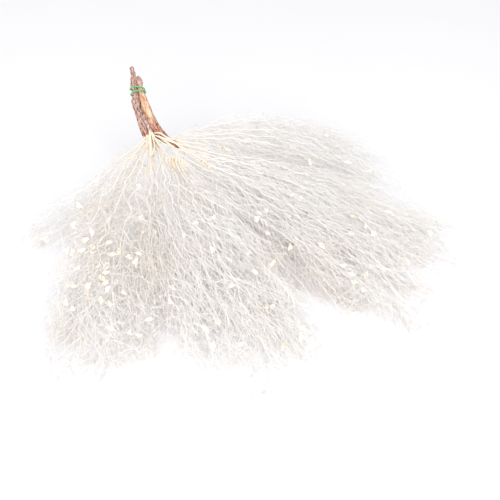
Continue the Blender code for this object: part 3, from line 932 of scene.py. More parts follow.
# The hump of the ridge ends at this share of the reach, and the sides droop by this share.
RIDGE_END = 0.8
SIDE_DROOP = 0.05
# From this far from the collar on points are held to the sector, and over as far again the
# top comes to hold them too. The side is eased by this power, the height from this share on.
NEAR_COLLAR = 30.0 * MM
SIDE_EASE = 6
TOP_KNEE = 0.8
# Strands rise over the ridge by their lift. It grows from this least share to its full size
# at this distance from the collar, and nothing rises further over that than the spare.
LIFT_LEAST = 0.2
LIFT_FULL = 110.0 * MM
TOP_SPARE = 9.0 * MM
# Nothing lies lower than this, or higher than this over the solids' box, and tips that pass
# the box towards the viewer do so by less than this margin.
FLOOR_CLEAR = 0.35 * MM
HIGHEST_ABOVE = 5.0 * MM
TIP_MARGIN = 19.0 * MM

# The culms lie at these shares of their slots across the sector, and run to these shares of
# the reach, with their points crowded to the collar by this power.
CULM_SLOT = (0.2, 0.8)
CULM_REACH = (0.7, 0.93)
CULM_CROWDING = 1.3
CULM_LIFT = 6.0 * MM
# A low culm lies up to this share of the way down from the ridge to a line that falls from
# the collar by this power.
LOW_MOST = 0.7
LOW_FALL = 0.55
# A culm starts within this many rings of its stem's root, this far off the bark, and runs the
# way that the stem does over so many rings each way. That carries it on for about the lead,
# and its start's place beside the collar fades out of it over the last of these.
START_RINGS = 7
START_CLEAR = 0.4 * MM
WAY_RINGS = 3
CULM_LEAD = 9.0 * MM
START_FADE = 70.0 * MM
# Where round its stem a culm starts, in radians from the viewer's side to the right.
STARTS_ROUND = (-1.3, 1.1)
RIGHT_STARTS_ROUND = (-1.9, -0.7)
# The culms of the right stem hump over its bark: this high, this far along, over this width.
OVER_STEM = 6.0 * MM
OVER_PLACE = 15.0 * MM
OVER_WIDTH = 14.0 * MM
# A culm wanders this far, less in height. That comes on over a span, from this share of it on.
CULM_WANDER = 1.9 * MM
WANDER_SHARES = (1.0, 1.0, 0.6)
WANDER_SPAN = 50.0 * MM
WANDER_START = 0.6

# Strands crowd to their parent's tip by this power, up to this share of it, and leave it above
# and below in turn, by this much against their random lean.
CROWD_TO_TIP = 0.8
LAST_START = 0.99
UP_OR_DOWN = 1.6
# They end by this share of the reach, or short of it by up to this share, mostly by little,
# and keep at least this share of their length.
FURTHEST = 1.04
SHORTFALL = 0.26
SHORTFALL_POWER = 1.6
LEAST_LENGTH = 0.35
# They keep within this many half sectors. Their lifts follow a gamma draw, cut off at the most.
WIDEST = (0.85, 1.65)
LIFT_SHAPE = 1.5
LIFT_SCALE = 2.6 * MM
LIFT_MOST = 13.0 * MM
# Near the floor they run nearly level, with this share of their fall.
FLOOR_FALL = 0.15

# The tan fades from this at the collar, over this length, with more where the bracts crowd.
COLLAR_TAN = 0.9
TAN_FADE = 30.0 * MM
WARM_TAN = 0.14
WARM_SIZE = 55.0 * MM
# Strands deep under the top are more tan by up to this: painted shade, darker and warmer where the strands above would
# shade them. A top counts as at least this high.
DEEP_PAINTED_SHADE = 0.3
DEEP_LEAST = 6.0 * MM
# Each strand's thickness varies by these factors, and its tan by this spread, drawn from the
# spray's seed with this added.
GIRTHS = (0.75, 1.3)
TAN_SPREAD = 0.06
STRAND_SEED = 1000


def ridge_height(spray, share):
    """The height of a spray's ridge at a share of its reach."""
    share = np.clip(share, 0.0, 1.0)
    hump = np.sin(np.pi * np.clip(share / RIDGE_END, 0.0, 1.0))
    return COLLAR[2] * (1.0 - share**spray.fall) + spray.rise * MM * hump


def bearing_at(spray, share, side):
    """The heading at a share of a spray's reach, this many half sectors to its side."""
    half = spray.half_sector * (1.0 - SECTOR_NARROWING * share)
    return spray.heading + spray.curl * share + side * half


def place_of(spray, points):
    """Points' distance from the collar in plan, its share of the reach, and their side."""
    offset = points[..., :2] - COLLAR[:2]
    distance = np.linalg.norm(offset, axis=-1)
    share = np.clip(distance / (spray.reach * MM), 0.0, 1.0)
    bearing = np.degrees(np.arctan2(offset[..., 1], offset[..., 0]))
    stray = (bearing - spray.heading - spray.curl * share + 180.0) % 360.0 - 180.0
    return distance, share, stray / (spray.half_sector * (1.0 - SECTOR_NARROWING * share))


def keep_in(spray, points, widest, lift):
    """Ease points back that stray to the side, over the spray's top or into the floor."""
    distance, share, side = place_of(spray, points)
    eased = side / (1.0 + np.abs(side / widest) ** SIDE_EASE) ** (1.0 / SIDE_EASE)
    side = np.where(distance < NEAR_COLLAR, side, eased)
    kept = COLLAR + heading_vector(bearing_at(spray, share, side)) * distance[..., None]
    top = ridge_height(spray, share) * (1.0 - SIDE_DROOP * np.clip(side, -1.0, 1.0) ** 2)
    top = top + lift * np.clip(distance / LIFT_FULL, LIFT_LEAST, 1.0)
    knee = TOP_KNEE * top
    over = np.maximum(points[..., 2] - knee, 0.0)
    eased = knee + (top - knee) * (1.0 - np.exp(-over / (top - knee)))
    height = np.where(points[..., 2] > knee, eased, points[..., 2])
    near = np.clip((distance - NEAR_COLLAR) / NEAR_COLLAR, 0.0, 1.0)
    height = points[..., 2] + (height - points[..., 2]) * near
    height = np.minimum(height, top + TOP_SPARE)
    kept[..., 2] = np.clip(height, FLOOR_CLEAR, CAD_BOX[1][2] + HIGHEST_ABOVE)
    beyond = np.maximum(CAD_BOX[0][1] - kept[..., 1], 0.0)
    kept[..., 1] += beyond - TIP_MARGIN * (1.0 - np.exp(-beyond / TIP_MARGIN))
    return kept


def culms_of(rng, spray):
    """The straight culms that fan out from the stem's end, some high on the ridge, some low."""
    stem = stem_run(spray.stem)
    first = len(stem) - 1 - int(spray.root * MM / STEM_RING_STEP)
    count = spray.culms
    order = rng.permutation(count)
    side = (order + rng.uniform(*CULM_SLOT, count)) / count * 2.0 - 1.0
    low = rng.uniform(0.0, 1.0, count) ** 2.0
    length = rng.uniform(*CULM_REACH, count)
    share = (np.linspace(0.0, 1.0, CULM_STEPS + 1) ** CULM_CROWDING)[None, :] * length[:, None]
    reach = spray.reach * MM * (1.0 - SECTOR_ROUNDING * side**2)
    travelled = share * reach[:, None]
    # The culms first run on along the stem that they leave, and only then spread.
    lead = CULM_LEAD * (1.0 - np.exp(-travelled / CULM_LEAD))
    gone = travelled - lead
    share = gone / reach[:, None]
    plan = COLLAR + heading_vector(bearing_at(spray, share, side[:, None])) * gone[..., None]
    height = ridge_height(spray, share) * (1.0 - SIDE_DROOP * side[:, None] ** 2 * share)
    fallen = COLLAR[2] * (1.0 - share**LOW_FALL)
    plan[..., 2] = height + (fallen - height) * LOW_MOST * low[:, None]
    last = len(stem) - 1 - WAY_RINGS
    picked = np.minimum(first + rng.integers(0, START_RINGS, count), last)
    onward = unit(stem[picked + WAY_RINGS, :3] - stem[picked - WAY_RINGS, :3])
    on_right = spray.stem == "woody_stem_right"
    around = rng.uniform(*(RIGHT_STARTS_ROUND if on_right else STARTS_ROUND), (count, 1))
    out = STALK_FRONT * np.cos(around) + STALK_ACROSS * np.sin(around)
    start = stem[picked, :3] + out * (stem[picked, 3:] + START_CLEAR)
    shift = (start - COLLAR)[:, None] + onward[:, None] * lead[..., None]
    points = plan + shift * np.exp(-travelled / START_FADE)[..., None]
    if on_right:
        # These lie over the bark of the stem's lower end.
        over = OVER_STEM * np.exp(-(((travelled - OVER_PLACE) / OVER_WIDTH) ** 2))
        points += STALK_FRONT * over[..., None]
    stray = rng.normal(0.0, CULM_WANDER, points.shape) * WANDER_SHARES
    points += stray * np.clip(travelled / WANDER_SPAN - WANDER_START, 0.0, 1.0)[..., None]
    return keep_in(spray, points, SECTOR_EDGE, CULM_LIFT)


def grow(rng, spray, level, parents, lengths):
    """Strands that leave the parents at an angle and run on outwards and down."""
    count = len(parents) * level.per_parent
    owner = np.repeat(np.arange(len(parents)), level.per_parent)
    steps = parents.shape[1] - 1
    slots = np.tile(np.arange(level.per_parent), len(parents))
    where = ((slots + rng.uniform(0.0, 1.0, count)) / level.per_parent) ** CROWD_TO_TIP
    spot = (level.first + (LAST_START - level.first) * where) * steps
    low = np.minimum(spot.astype(int), steps - 1)
    first = parents[owner, low]
    second = parents[owner, low + 1]
    start = first + (second - first) * (spot - low)[:, None]
    way = unit(second - first)
    angle = np.radians(rng.uniform(level.least_angle, level.most_angle, count))
    lean = rng.normal(0.0, 1.0, (count, 3))
    lean[:, 2] += UP_OR_DOWN * np.where(slots % 2 == 0, 1.0, -1.0)
    away = unit(np.cross(way, lean))
    way = way * np.cos(angle)[:, None] + away * np.sin(angle)[:, None]
    distance, _, side = place_of(spray, start)
    edge = np.clip(side, -SECTOR_EDGE, SECTOR_EDGE)
    reach = spray.reach * MM * (1.0 - SECTOR_ROUNDING * edge**2)
    furthest = reach * (FURTHEST - SHORTFALL * rng.uniform(0.0, 1.0, count) ** SHORTFALL_POWER)
    length = lengths[owner] * rng.uniform(level.shortest, level.longest, count)
    length = np.clip(furthest - distance, LEAST_LENGTH * length, length)
    widest = rng.uniform(*WIDEST, count)
    lift = np.minimum(rng.gamma(LIFT_SHAPE, LIFT_SCALE, count), LIFT_MOST)
    bend = np.radians(rng.normal(0.0, level.bend, count))
    turn_x, turn_y = np.cos(bend), np.sin(bend)
    points = [start]
    here = start
    for _ in range(level.steps):
        outward = unit((here - COLLAR) * (1.0, 1.0, 0.0))
        pull = outward * level.outward - UP * level.droop
        way = unit(way + pull + rng.normal(0.0, level.kink, way.shape))
        x, y = way[:, 0] * turn_x - way[:, 1] * turn_y, way[:, 0] * turn_y + way[:, 1] * turn_x
        way = np.column_stack([x, y, way[:, 2]])
        level_off = (here[:, 2] <= 2.0 * FLOOR_CLEAR)[:, None]
        way = np.where(level_off, way * (1.0, 1.0, FLOOR_FALL), way)
        here = keep_in(spray, here + way * (length / level.steps)[:, None], widest, lift)
        points.append(here)
    return np.stack(points, axis=1), length


def spray_strands(spray):
    """A spray's culms, and its finer strands, each generation with its level."""
    rng = np.random.default_rng(spray.seed)
    culms = culms_of(rng, spray)
    generations = []
    for chain in (LEVELS, WEB, [HAIRS]):
        parents, lengths = culms, np.full(len(culms), spray.reach * MM)
        for level in chain:
            parents, lengths = grow(rng, spray, level, parents, lengths)
            generations.append((level, parents))
    return culms, generations


def tan_at(points, share):
    """How tan a strand is: its own share, and more near the stems and among the bracts."""
    distance = np.linalg.norm(points - COLLAR, axis=-1)
    from_crowd = np.linalg.norm(points - COLLAR - np.array(BRACT_CROWD) * MM, axis=-1)
    warm = WARM_TAN * np.exp(-((from_crowd / WARM_SIZE) ** 2))
    return np.clip(share + warm + COLLAR_TAN * np.exp(-distance / TAN_FADE), 0.0, 1.0)


def depth_under(spray, points):
    """How far points lie under a spray's top, as a share of its height, fading to the tips."""
    _, share, _ = place_of(spray, points)
    top = np.maximum(ridge_height(spray, share), DEEP_LEAST)
    return np.clip(1.0 - points[..., 2] / top, 0.0, 1.0) * (1.0 - share**2)


def strand_tree():
    """A closed tube along each line, which strays a little on its own way."""
    sockets = [
        ("Sides", "Int", 3),
        ("Thickness", "Float", 1.0),
        ("Waviness", "Float", 0.8 * MM),
        ("Wave Length", "Float", 22.0 * MM),
        ("Floor", "Float", 0.3 * MM),
    ]
    tree, given = new_tree("Grass Strands", sockets)
    line = add_node(tree, "GeometryNodeMeshToCurve", {"Mesh": given["Geometry"]})
    place = add_node(tree, "GeometryNodeInputPosition")
    own, loose, thickness = (
        add_node(tree, "GeometryNodeInputNamedAttribute", {"Name": label}, data_type="FLOAT")
        for label in ("own", "loose", "thickness")
    )
    pitch = add_node(tree, "ShaderNodeMath", {0: 1.0, 1: given["Wave Length"]}, operation="DIVIDE")
    inputs = {"Vector": place, "W": own, "Scale": pitch, "Detail": 1.0}
    noise = add_node(tree, "ShaderNodeTexNoise", inputs, noise_dimensions="4D")
    inputs = {0: noise.outputs["Color"], 1: (0.5, 0.5, 0.5)}
    centred = add_node(tree, "ShaderNodeVectorMath", inputs, operation="SUBTRACT")
    inputs = {0: given["Waviness"], 1: NOISE_SWING}
    amount = add_node(tree, "ShaderNodeMath", inputs, operation="MULTIPLY")
    eased = add_node(tree, "ShaderNodeMath", {0: amount, 1: loose}, operation="MULTIPLY")
    inputs = {0: centred, "Scale": eased}
    offset = add_node(tree, "ShaderNodeVectorMath", inputs, operation="SCALE")
    strayed = add_node(tree, "ShaderNodeVectorMath", {0: place, 1: offset}, operation="ADD")
    parts = add_node(tree, "ShaderNodeSeparateXYZ", {0: strayed}).outputs
    inputs = {0: parts["Z"], 1: given["Floor"]}
    lifted = add_node(tree, "ShaderNodeMath", inputs, operation="MAXIMUM")
    spot = add_node(tree, "ShaderNodeCombineXYZ", {"X": parts["X"], "Y": parts["Y"], "Z": lifted})
    waved = add_node(tree, "GeometryNodeSetPosition", {"Geometry": line, "Position": spot})
    inputs = {0: thickness, 1: given["Thickness"]}
    radius = add_node(tree, "ShaderNodeMath", inputs, operation="MULTIPLY")
    tube = add_tube(tree, waved, given["Sides"], radius)
    return finish_tree(tree, tube, given["Material"])


# Each strand waves on its own way: it reads the noise up to this far from the others.
NOISE_APART = 500.0


def strand_piece(name, strands, values, *nodes):
    """Build strands, each a line with its thickness and its tan, as one piece of grass."""
    runs, thickness, tans = zip(*strands)
    rng = np.random.default_rng(len(runs))
    attributes = {
        "thickness": thickness,
        "tan": tans,
        "own": [np.full(len(run), rng.uniform(0.0, NOISE_APART)) for run in runs],
        "loose": [np.linspace(0.0, 1.0, len(run)) for run in runs],
    }
    made = line_object(name, runs, attributes)
    run_tree(made, strand_tree(), {"Floor": FLOOR_CLEAR, **values})
    dress(made, "dried_grass", *nodes)


class BUNDLE_OT_sprays(Operator):
    """Build the six cream sprays, each with its branches down to the finest strands"""

    bl_idname = "bundle.sprays"
    bl_label = "Build Sprays"

    def execute(self, context):
        settings = context.scene.grass_settings
        values = {
            "Thickness": settings.thickness,
            "Waviness": settings.waviness,
            "Material": grass_material(settings),
        }
        for name, spray in SPRAYS.items():
            rng = np.random.default_rng(spray.seed + STRAND_SEED)
            strands = []
            for level, runs in spray_strands(spray)[1]:
                radius = np.linspace(level.root_radius, level.tip_radius, level.steps + 1)
                for run in runs:
                    thickness = radius * MM * spray.girth * rng.uniform(*GIRTHS)
                    # Strands deep in the spray turn more tan as painted shade.
                    deep = DEEP_PAINTED_SHADE * depth_under(spray, run)
                    tan = tan_at(run, level.tan + deep + rng.normal(0.0, TAN_SPREAD))
                    strands.append((run, thickness, tan))
            strand_piece(name + "_strands", strands, values, name)
        return {"FINISHED"}


# The culms

CULM_SEED = 71
CULM_SPACING = 1.4 * MM
CULM_SIDES = 7
CULM_LEAST_POINTS = 8
# A culm tapers over this length. It starts at this share of its thickness, and would gain the
# whole of it in this length. Culms differ by these factors in thickness, and by these in tan.
CULM_TAPER = 42.0 * MM
CULM_POINT = 0.35
CULM_POINT_LENGTH = 7.0 * MM
CULM_GIRTHS = (0.7, 1.4)
CULM_TANS = (0.0, 0.2)
STOUT_TAN = 0.5
# It has this many nodes, so far apart, where it swells by this share over this width.
CULM_NODES = 3
NODE_SPACING = (24.0 * MM, 46.0 * MM)
NODE_SWELL = 0.28
NODE_WIDTH = 0.9 * MM
# Culms are stiff, so they wave by this share of what the strands do.
CULM_WAVINESS = 0.3


class StoutCulm(NamedTuple):
    """A listed culm: its knots in millimetres from the collar, radii and node rings."""

    knots: tuple
    radii: tuple
    nodes: tuple


# The stoutest one falls straight towards the viewer, and ends at a node where fine strands start.
STOUT_CULMS = (
    StoutCulm(
        ((-2.1, 3.4, 8.4), (-1.2, -3.6, 4.0), (0.2, -20.0, -1.6), (1.3, -35.0, -4.9), (2.2, -48.0, -8.0)),
        (0.9, 1.35, 1.7, 1.75, 1.45),
        (42.0,),
    ),
    StoutCulm(
        ((-0.4, 3.2, 7.0), (1.6, -4.0, 3.0), (3.4, -16.0, 0.0), (-1.0, -38.0, -6.0), (-5.0, -56.0, -11.0)),
        (0.8, 0.8, 0.7, 0.5, 0.35),
        (22.0,),
    ),
    StoutCulm(
        ((0.6, 2.6, 6.4), (5.0, -9.0, 4.0), (15.0, -28.0, 2.0), (27.0, -47.0, -2.0), (37.0, -66.0, -7.5)),
        (0.8, 0.8, 0.7, 0.55, 0.4),
        (36.0,),
    ),
    StoutCulm(
        ((13.5, -25.5, 2.0), (12.0, -36.0, -1.0), (9.0, -47.0, -4.5)),
        (0.6, 0.5, 0.35),
        (),
    ),
    # These three run to the right over the dark bark of the right stem's end.
    StoutCulm(
        ((2.5, 1.5, 6.6), (8.0, -1.0, 7.9), (16.0, -5.5, 5.4), (28.0, -9.5, 4.2), (52.0, -15.0, 3.4)),
        (0.5, 0.8, 0.8, 0.7, 0.45),
        (20.0,),
    ),
    StoutCulm(
        ((2.2, -0.5, 5.6), (7.0, -4.5, 6.0), (16.5, -9.5, 4.2), (31.0, -15.0, 2.8), (55.0, -21.0, 1.6)),
        (0.5, 0.75, 0.75, 0.6, 0.4),
        (29.0,),
    ),
    StoutCulm(
        ((2.0, -2.0, 4.6), (7.0, -8.0, 4.2), (15.0, -14.5, 2.8), (31.0, -23.5, 1.6), (52.0, -33.0, -0.5)),
        (0.5, 0.7, 0.7, 0.55, 0.4),
        (17.0,),
    ),
    # These two fall to the left of the collar.
    StoutCulm(
        ((-3.4, -1.4, 5.8), (-8.0, -7.0, 3.4), (-18.0, -17.0, -1.6), (-33.0, -25.0, -8.5)),
        (0.5, 0.8, 0.7, 0.4),
        (13.0,),
    ),
    StoutCulm(
        ((-2.8, -2.0, 5.2), (-6.5, -10.0, 2.8), (-14.0, -22.0, -1.8), (-26.0, -33.0, -8.0)),
        (0.5, 0.7, 0.6, 0.4),
        (19.0,),
    ),
)


def culm_line(points, radii, nodes):
    """A culm's evenly spaced points, and its radii with a swelling at each node."""
    length = travelled_along(points)[-1]
    count = max(CULM_LEAST_POINTS, int(length / CULM_SPACING))
    run = smooth_run(np.column_stack([points, radii]), count)
    travelled = np.linspace(0.0, length, len(run))
    swell = sum(np.exp(-(((travelled - node) / NODE_WIDTH) ** 2)) for node in nodes)
    return run[:, :3], run[:, 3] * (1.0 + NODE_SWELL * swell)


class BUNDLE_OT_culms(Operator):
    """Build the round, jointed culms that carry the strands"""

    bl_idname = "bundle.culms"
    bl_label = "Build Culms"

    def execute(self, context):
        settings = context.scene.grass_settings
        strands = []
        rng = np.random.default_rng(CULM_SEED)
        for spray in SPRAYS.values():
            for culm in spray_strands(spray)[0]:
                travelled = travelled_along(culm)
                root = CULM_ROOT_RADIUS * spray.girth * rng.uniform(*CULM_GIRTHS)
                tip = CULM_TIP_RADIUS * spray.girth
                radii = (tip + (root - tip) * np.exp(-travelled / CULM_TAPER)) * MM
                radii *= np.clip(CULM_POINT + travelled / CULM_POINT_LENGTH, 0.0, 1.0)
                nodes = np.cumsum(rng.uniform(*NODE_SPACING, CULM_NODES))
                points, radii = culm_line(culm, radii, nodes)
                strands.append((points, radii, tan_at(points, rng.uniform(*CULM_TANS))))
        for stout in STOUT_CULMS:
            knots = COLLAR + np.array(stout.knots) * MM
            nodes = [node * MM for node in stout.nodes]
            points, radii = culm_line(knots, np.array(stout.radii) * MM, nodes)
            strands.append((points, radii, tan_at(points, STOUT_TAN)))
        values = {
            "Sides": CULM_SIDES,
            "Thickness": settings.thickness,
            "Waviness": CULM_WAVINESS * settings.waviness,
            "Material": grass_material(settings),
        }
        strand_piece("cream_culms", strands, values)
        return {"FINISHED"}


# The sheaths


class Sheath(NamedTuple):
    """A torn leaf sheath: the line its ribs leave and how far they run, in mm from the collar."""

    first: tuple
    last: tuple
    ribs: int
    fall: tuple


SHEATHS = (
    Sheath((18.0, -41.0, 4.0), (33.5, -45.0, 3.0), 7, (3.5, -15.0, -6.0)),
    Sheath((48.0, -42.0, 0.5), (56.0, -45.0, -1.0), 4, (3.0, -6.0, -2.0)),
    Sheath((22.0, -8.0, 2.0), (29.0, -10.0, 1.0), 4, (4.0, -3.0, -1.5)),
    Sheath((66.0, -17.0, 2.0), (72.0, -20.0, 1.5), 3, (2.5, -4.5, -1.6)),
)
SHEATH_SEED = 31
RIB_POINTS = 9
RIB_SIDES = 6
# The radii of a rib and of a fold at root and tip, in millimetres.
RIB_RADII = (0.5, 0.25)
FOLD_RADII = (0.95, 0.5)
RIB_WAVINESS = 0.4 * MM
# A rib bulges back along the sheath's line by this many millimetres, and up by this share of
# that. The ribs fan out along the line by this many in all, away from this share of it.
RIB_BULGE = 1.5
BULGE_UP = 0.6
RIB_FAN = 6.0
FAN_MIDDLE = 0.4
# The folds lie this deep, and the sheath's line arches up this far, in millimetres.
FOLD_DEPTH = 1.0
SPINE_ARCH = 1.6
# The ribs in a sheath's middle run furthest: a sine from here over this share of a half turn.
FALL_START = 0.2
FALL_SPAN = 0.65
# How much one rib differs from the next: in its fall, start, bulge, place and thickness.
FALL_FACTORS = (0.75, 1.15)
START_SPREAD = 0.35
BULGE_FACTORS = (0.7, 1.3)
PLACE_SPREAD = 0.25
RIB_GIRTHS = (0.8, 1.2)
FOLD_TANS = (0.6, 1.0)


def rib_run(rng, sheath, share):
    """One stiff rib that leaves the sheath's line and curves down past the viewer."""
    first, last = np.array(sheath.first), np.array(sheath.last)
    middle = math.sin(math.pi * (FALL_START + FALL_SPAN * share))
    fall = np.array(sheath.fall) * rng.uniform(*FALL_FACTORS) * middle
    start = first + (last - first) * share + rng.normal(0.0, START_SPREAD, 3)
    start[2] += SPINE_ARCH * math.sin(math.pi * share)
    t = np.linspace(0.0, 1.0, RIB_POINTS)[:, None]
    side = unit(last - first)
    bulge = (UP * BULGE_UP - side) * RIB_BULGE * rng.uniform(*BULGE_FACTORS) * np.sin(math.pi * t)
    fan = side * (share - FAN_MIDDLE) * RIB_FAN * t
    return COLLAR + (start + fall * t + bulge + fan) * MM


class BUNDLE_OT_sheaths(Operator):
    """Build the torn, ribbed leaf sheaths on the culms near the collar"""

    bl_idname = "bundle.sheaths"
    bl_label = "Build Sheaths"

    def execute(self, context):
        rng = np.random.default_rng(SHEATH_SEED)
        strands = []
        for sheath in SHEATHS:
            spine = np.linspace(sheath.first, sheath.last, RIB_POINTS)
            spine[:, 2] += SPINE_ARCH * np.sin(np.linspace(0.0, math.pi, RIB_POINTS))
            radii = np.full(RIB_POINTS, RIB_RADII[1] * MM)
            strands.append((COLLAR + spine * MM, radii, np.zeros(RIB_POINTS)))
            for index, share in enumerate(np.linspace(0.0, 1.0, 2 * sheath.ribs - 1)):
                # Between the pale ribs lie browner strands, set back from them.
                fold = index % 2
                share += rng.normal(0.0, PLACE_SPREAD) / (2 * sheath.ribs)
                run = rib_run(rng, sheath, share) - STALK_FRONT * FOLD_DEPTH * fold * MM
                radii = np.linspace(*(FOLD_RADII if fold else RIB_RADII), RIB_POINTS)
                radii = radii * MM * rng.uniform(*RIB_GIRTHS)
                tan = np.full(RIB_POINTS, fold * rng.uniform(*FOLD_TANS))
                strands.append((run, radii, tan))
        material = sheath_material(context.scene.grass_settings)
        values = {"Sides": RIB_SIDES, "Waviness": RIB_WAVINESS, "Material": material}
        strand_piece("leaf_sheaths", strands, values)
        return {"FINISHED"}


# The bracts

BRACTS = {
    "spray_left": 6,
    "spray_front_left": 46,
    "spray_front": 26,
    "spray_right_front": 17,
    "spray_right": 12,
    "spray_back": 12,
}
# Added to a spray's seed for its bracts.
BRACT_SEED = 2000
# Where the bracts are crowded, in millimetres from the collar.
BRACT_CROWD = (-32.0, -150.0, -39.0)
CROWD_SIZE = 26.0 * MM
CROWDING = 14.0
# They keep this far apart, over this share of the spray's top and within these of its reach.
BRACT_SPACING = 5.0 * MM
BRACT_TOP = 0.72
BRACT_REACH = (0.2, 0.84)
BRACT_SIZES = (0.8, 1.25)
# Most bracts are pale: their tan is a random share to this power.
BRACT_TAN_POWER = 1.6
BRACT_SIDES = 6
# Heights and radii of the rings, up the outside, over the rim and down the inside.
BRACT_PROFILE = ((0.0, 0.06), (0.3, 0.24), (0.7, 0.45), (1.0, 0.4), (0.72, 0.3), (0.35, 0.1))
# The rim is the ring with this number. Its teeth stand up and down by this, one side of a
# bract is higher by the lean, and its depth is this share of its width.
BRACT_RIM = 3
BRACT_TOOTH = 0.13
BRACT_LEAN = 0.22
BRACT_DEPTH = 0.8


def bract_template():
    """A little papery cup of unit size on its point, with a toothed rim and a hollow inside."""
    verts, faces = [], []
    for row, (height, radius) in enumerate(BRACT_PROFILE):
        for k in range(BRACT_SIDES):
            angle = 2.0 * math.pi * k / BRACT_SIDES
            tooth = BRACT_TOOTH * (-1.0) ** k if row == BRACT_RIM else 0.0
            # One side stands higher than the other, as a leaf's does.
            lean = BRACT_LEAN * height * math.cos(angle)
            spot = (radius * math.cos(angle), BRACT_DEPTH * radius * math.sin(angle))
            verts.append((*spot, height + tooth + lean))
    last = len(BRACT_PROFILE) - 1
    for row in range(last):
        for k in range(BRACT_SIDES):
            n = (k + 1) % BRACT_SIDES
            a, b = row * BRACT_SIDES, (row + 1) * BRACT_SIDES
            faces.append((a + k, a + n, b + n, b + k))
    faces.append(tuple(reversed(range(BRACT_SIDES))))
    faces.append(tuple(last * BRACT_SIDES + k for k in range(BRACT_SIDES)))
    mesh = bpy.data.meshes.new("bract_template")
    mesh.from_pydata(verts, [], faces)
    return add_object("bract_template", mesh)


def bract_places(rng, spray, tips, ways, wanted):
    """Tips near the spray's upper surface, apart from each other, that carry a bract.

    They come mostly where the bracts are crowded.
    """
    _, share, side = place_of(spray, tips)
    surface = ridge_height(spray, share) * (1.0 - SIDE_DROOP * np.clip(side, -1, 1) ** 2)
    low, high = BRACT_REACH
    shown = (tips[:, 2] > BRACT_TOP * surface) & (low < share) & (share < high)
    far = np.linalg.norm(tips - COLLAR - np.array(BRACT_CROWD) * MM, axis=-1)
    crowding = 1.0 + CROWDING * np.exp(-((far / CROWD_SIZE) ** 2))
    chosen = []
    for index in np.argsort(rng.exponential(1.0, len(tips)) / crowding):
        if not shown[index] or len(chosen) == wanted:
            continue
        if all(np.linalg.norm(tips[index] - tips[other]) > BRACT_SPACING for other in chosen):
            chosen.append(index)
    return tips[chosen], ways[chosen]


def bract_tree():
    """A bract on each point, turned to the way that its strand runs."""
    sockets = [("Bract", "Object", None), ("Length", "Float", 5.0 * MM), ("Seed", "Int", 7)]
    tree, given = new_tree("Papery Bracts", sockets)
    shape = add_node(tree, "GeometryNodeObjectInfo", {"Object": given["Bract"]}).outputs["Geometry"]
    inputs = {"Name": "way"}
    way = add_node(tree, "GeometryNodeInputNamedAttribute", inputs, data_type="FLOAT_VECTOR")
    draws = []
    for least, most in ((0.0, 2.0 * math.pi), BRACT_SIZES):
        inputs = {2: least, 3: most, "Seed": given["Seed"]}
        draws.append(add_node(tree, "FunctionNodeRandomValue", inputs, data_type="FLOAT").outputs[1])
    spin, size = draws
    aimed = add_node(tree, "FunctionNodeAlignRotationToVector", {"Vector": way}, axis="Z")
    inputs = {"Axis": (0.0, 0.0, 1.0), "Angle": spin}
    rolled = add_node(tree, "FunctionNodeAxisAngleToRotation", inputs)
    inputs = {"Rotation": aimed, "Rotate By": rolled}
    turned = add_node(tree, "FunctionNodeRotateRotation", inputs, rotation_space="LOCAL")
    scale = add_node(tree, "ShaderNodeMath", {0: size, 1: given["Length"]}, operation="MULTIPLY")
    inputs = {"Points": given["Geometry"], "Instance": shape, "Rotation": turned, "Scale": scale}
    placed = add_node(tree, "GeometryNodeInstanceOnPoints", inputs)
    return finish_tree(tree, placed, given["Material"], smooth=False)


class BUNDLE_OT_bracts(Operator):
    """Build the papery bracts at the tips of some strands"""

    bl_idname = "bundle.bracts"
    bl_label = "Build Bracts"

    def execute(self, context):
        settings = context.scene.grass_settings
        places, ways, tans = [], [], []
        for name, spray in SPRAYS.items():
            rng = np.random.default_rng(spray.seed + BRACT_SEED)
            carriers = [strands for _, strands in spray_strands(spray)[1][1:3]]
            tips = np.concatenate([strands[:, -1] for strands in carriers])
            runs = np.concatenate([strands[:, -1] - strands[:, -2] for strands in carriers])
            spots, along = bract_places(rng, spray, tips, unit(runs), BRACTS[name])
            places.append(spots)
            ways.append(along)
            tans.append(rng.uniform(0.0, 1.0, len(spots)) ** BRACT_TAN_POWER)
        mesh = bpy.data.meshes.new("papery_bracts")
        mesh.from_pydata(np.concatenate(places), [], [])
        layer = mesh.attributes.new("way", "FLOAT_VECTOR", "POINT")
        layer.data.foreach_set("vector", np.concatenate(ways).ravel())
        layer = mesh.attributes.new("tan", "FLOAT", "POINT")
        layer.data.foreach_set("value", np.concatenate(tans))
        bracts = add_object("papery_bracts", mesh)
        template = bract_template()
        values = {
            "Bract": template,
            "Length": settings.bract_length,
            "Material": bract_material(settings),
        }
        run_tree(bracts, bract_tree(), values)
        bpy.data.objects.remove(template)
        dress(bracts, "dried_grass")
        return {"FINISHED"}


# The stage

# The camera looks down 35 degrees at the bundle from the front, as the photograph does. Its
# place is in millimetres from the collar.
CAMERA_FROM_COLLAR = (93.1, -838.1, 459.3)
CAMERA_PITCH = 35.0
# The lamps' places and widths, in metres.
LAMPS = {
    "key": ((-0.25, -0.1, 1.3), 1.6),
    "fill": ((0.3, -5.2, 3.6), 4.8),
}
FLOOR_CORNERS = ((-0.5, -0.5, 0.0), (0.5, -0.5, 0.0), (0.5, 0.5, 0.0), (-0.5, 0.5, 0.0))


def add_lamp(name, power):
    """A large round soft light that faces the bundle."""
    place, width = LAMPS[name]
    lamp = bpy.data.lights.new(name, "AREA")
    lamp.shape = "DISK"
    lamp.size = width
    lamp.energy = power
    made = add_object(name, lamp)
    made.location = place
    made.rotation_euler = Vector(place).to_track_quat("Z", "Y").to_euler()


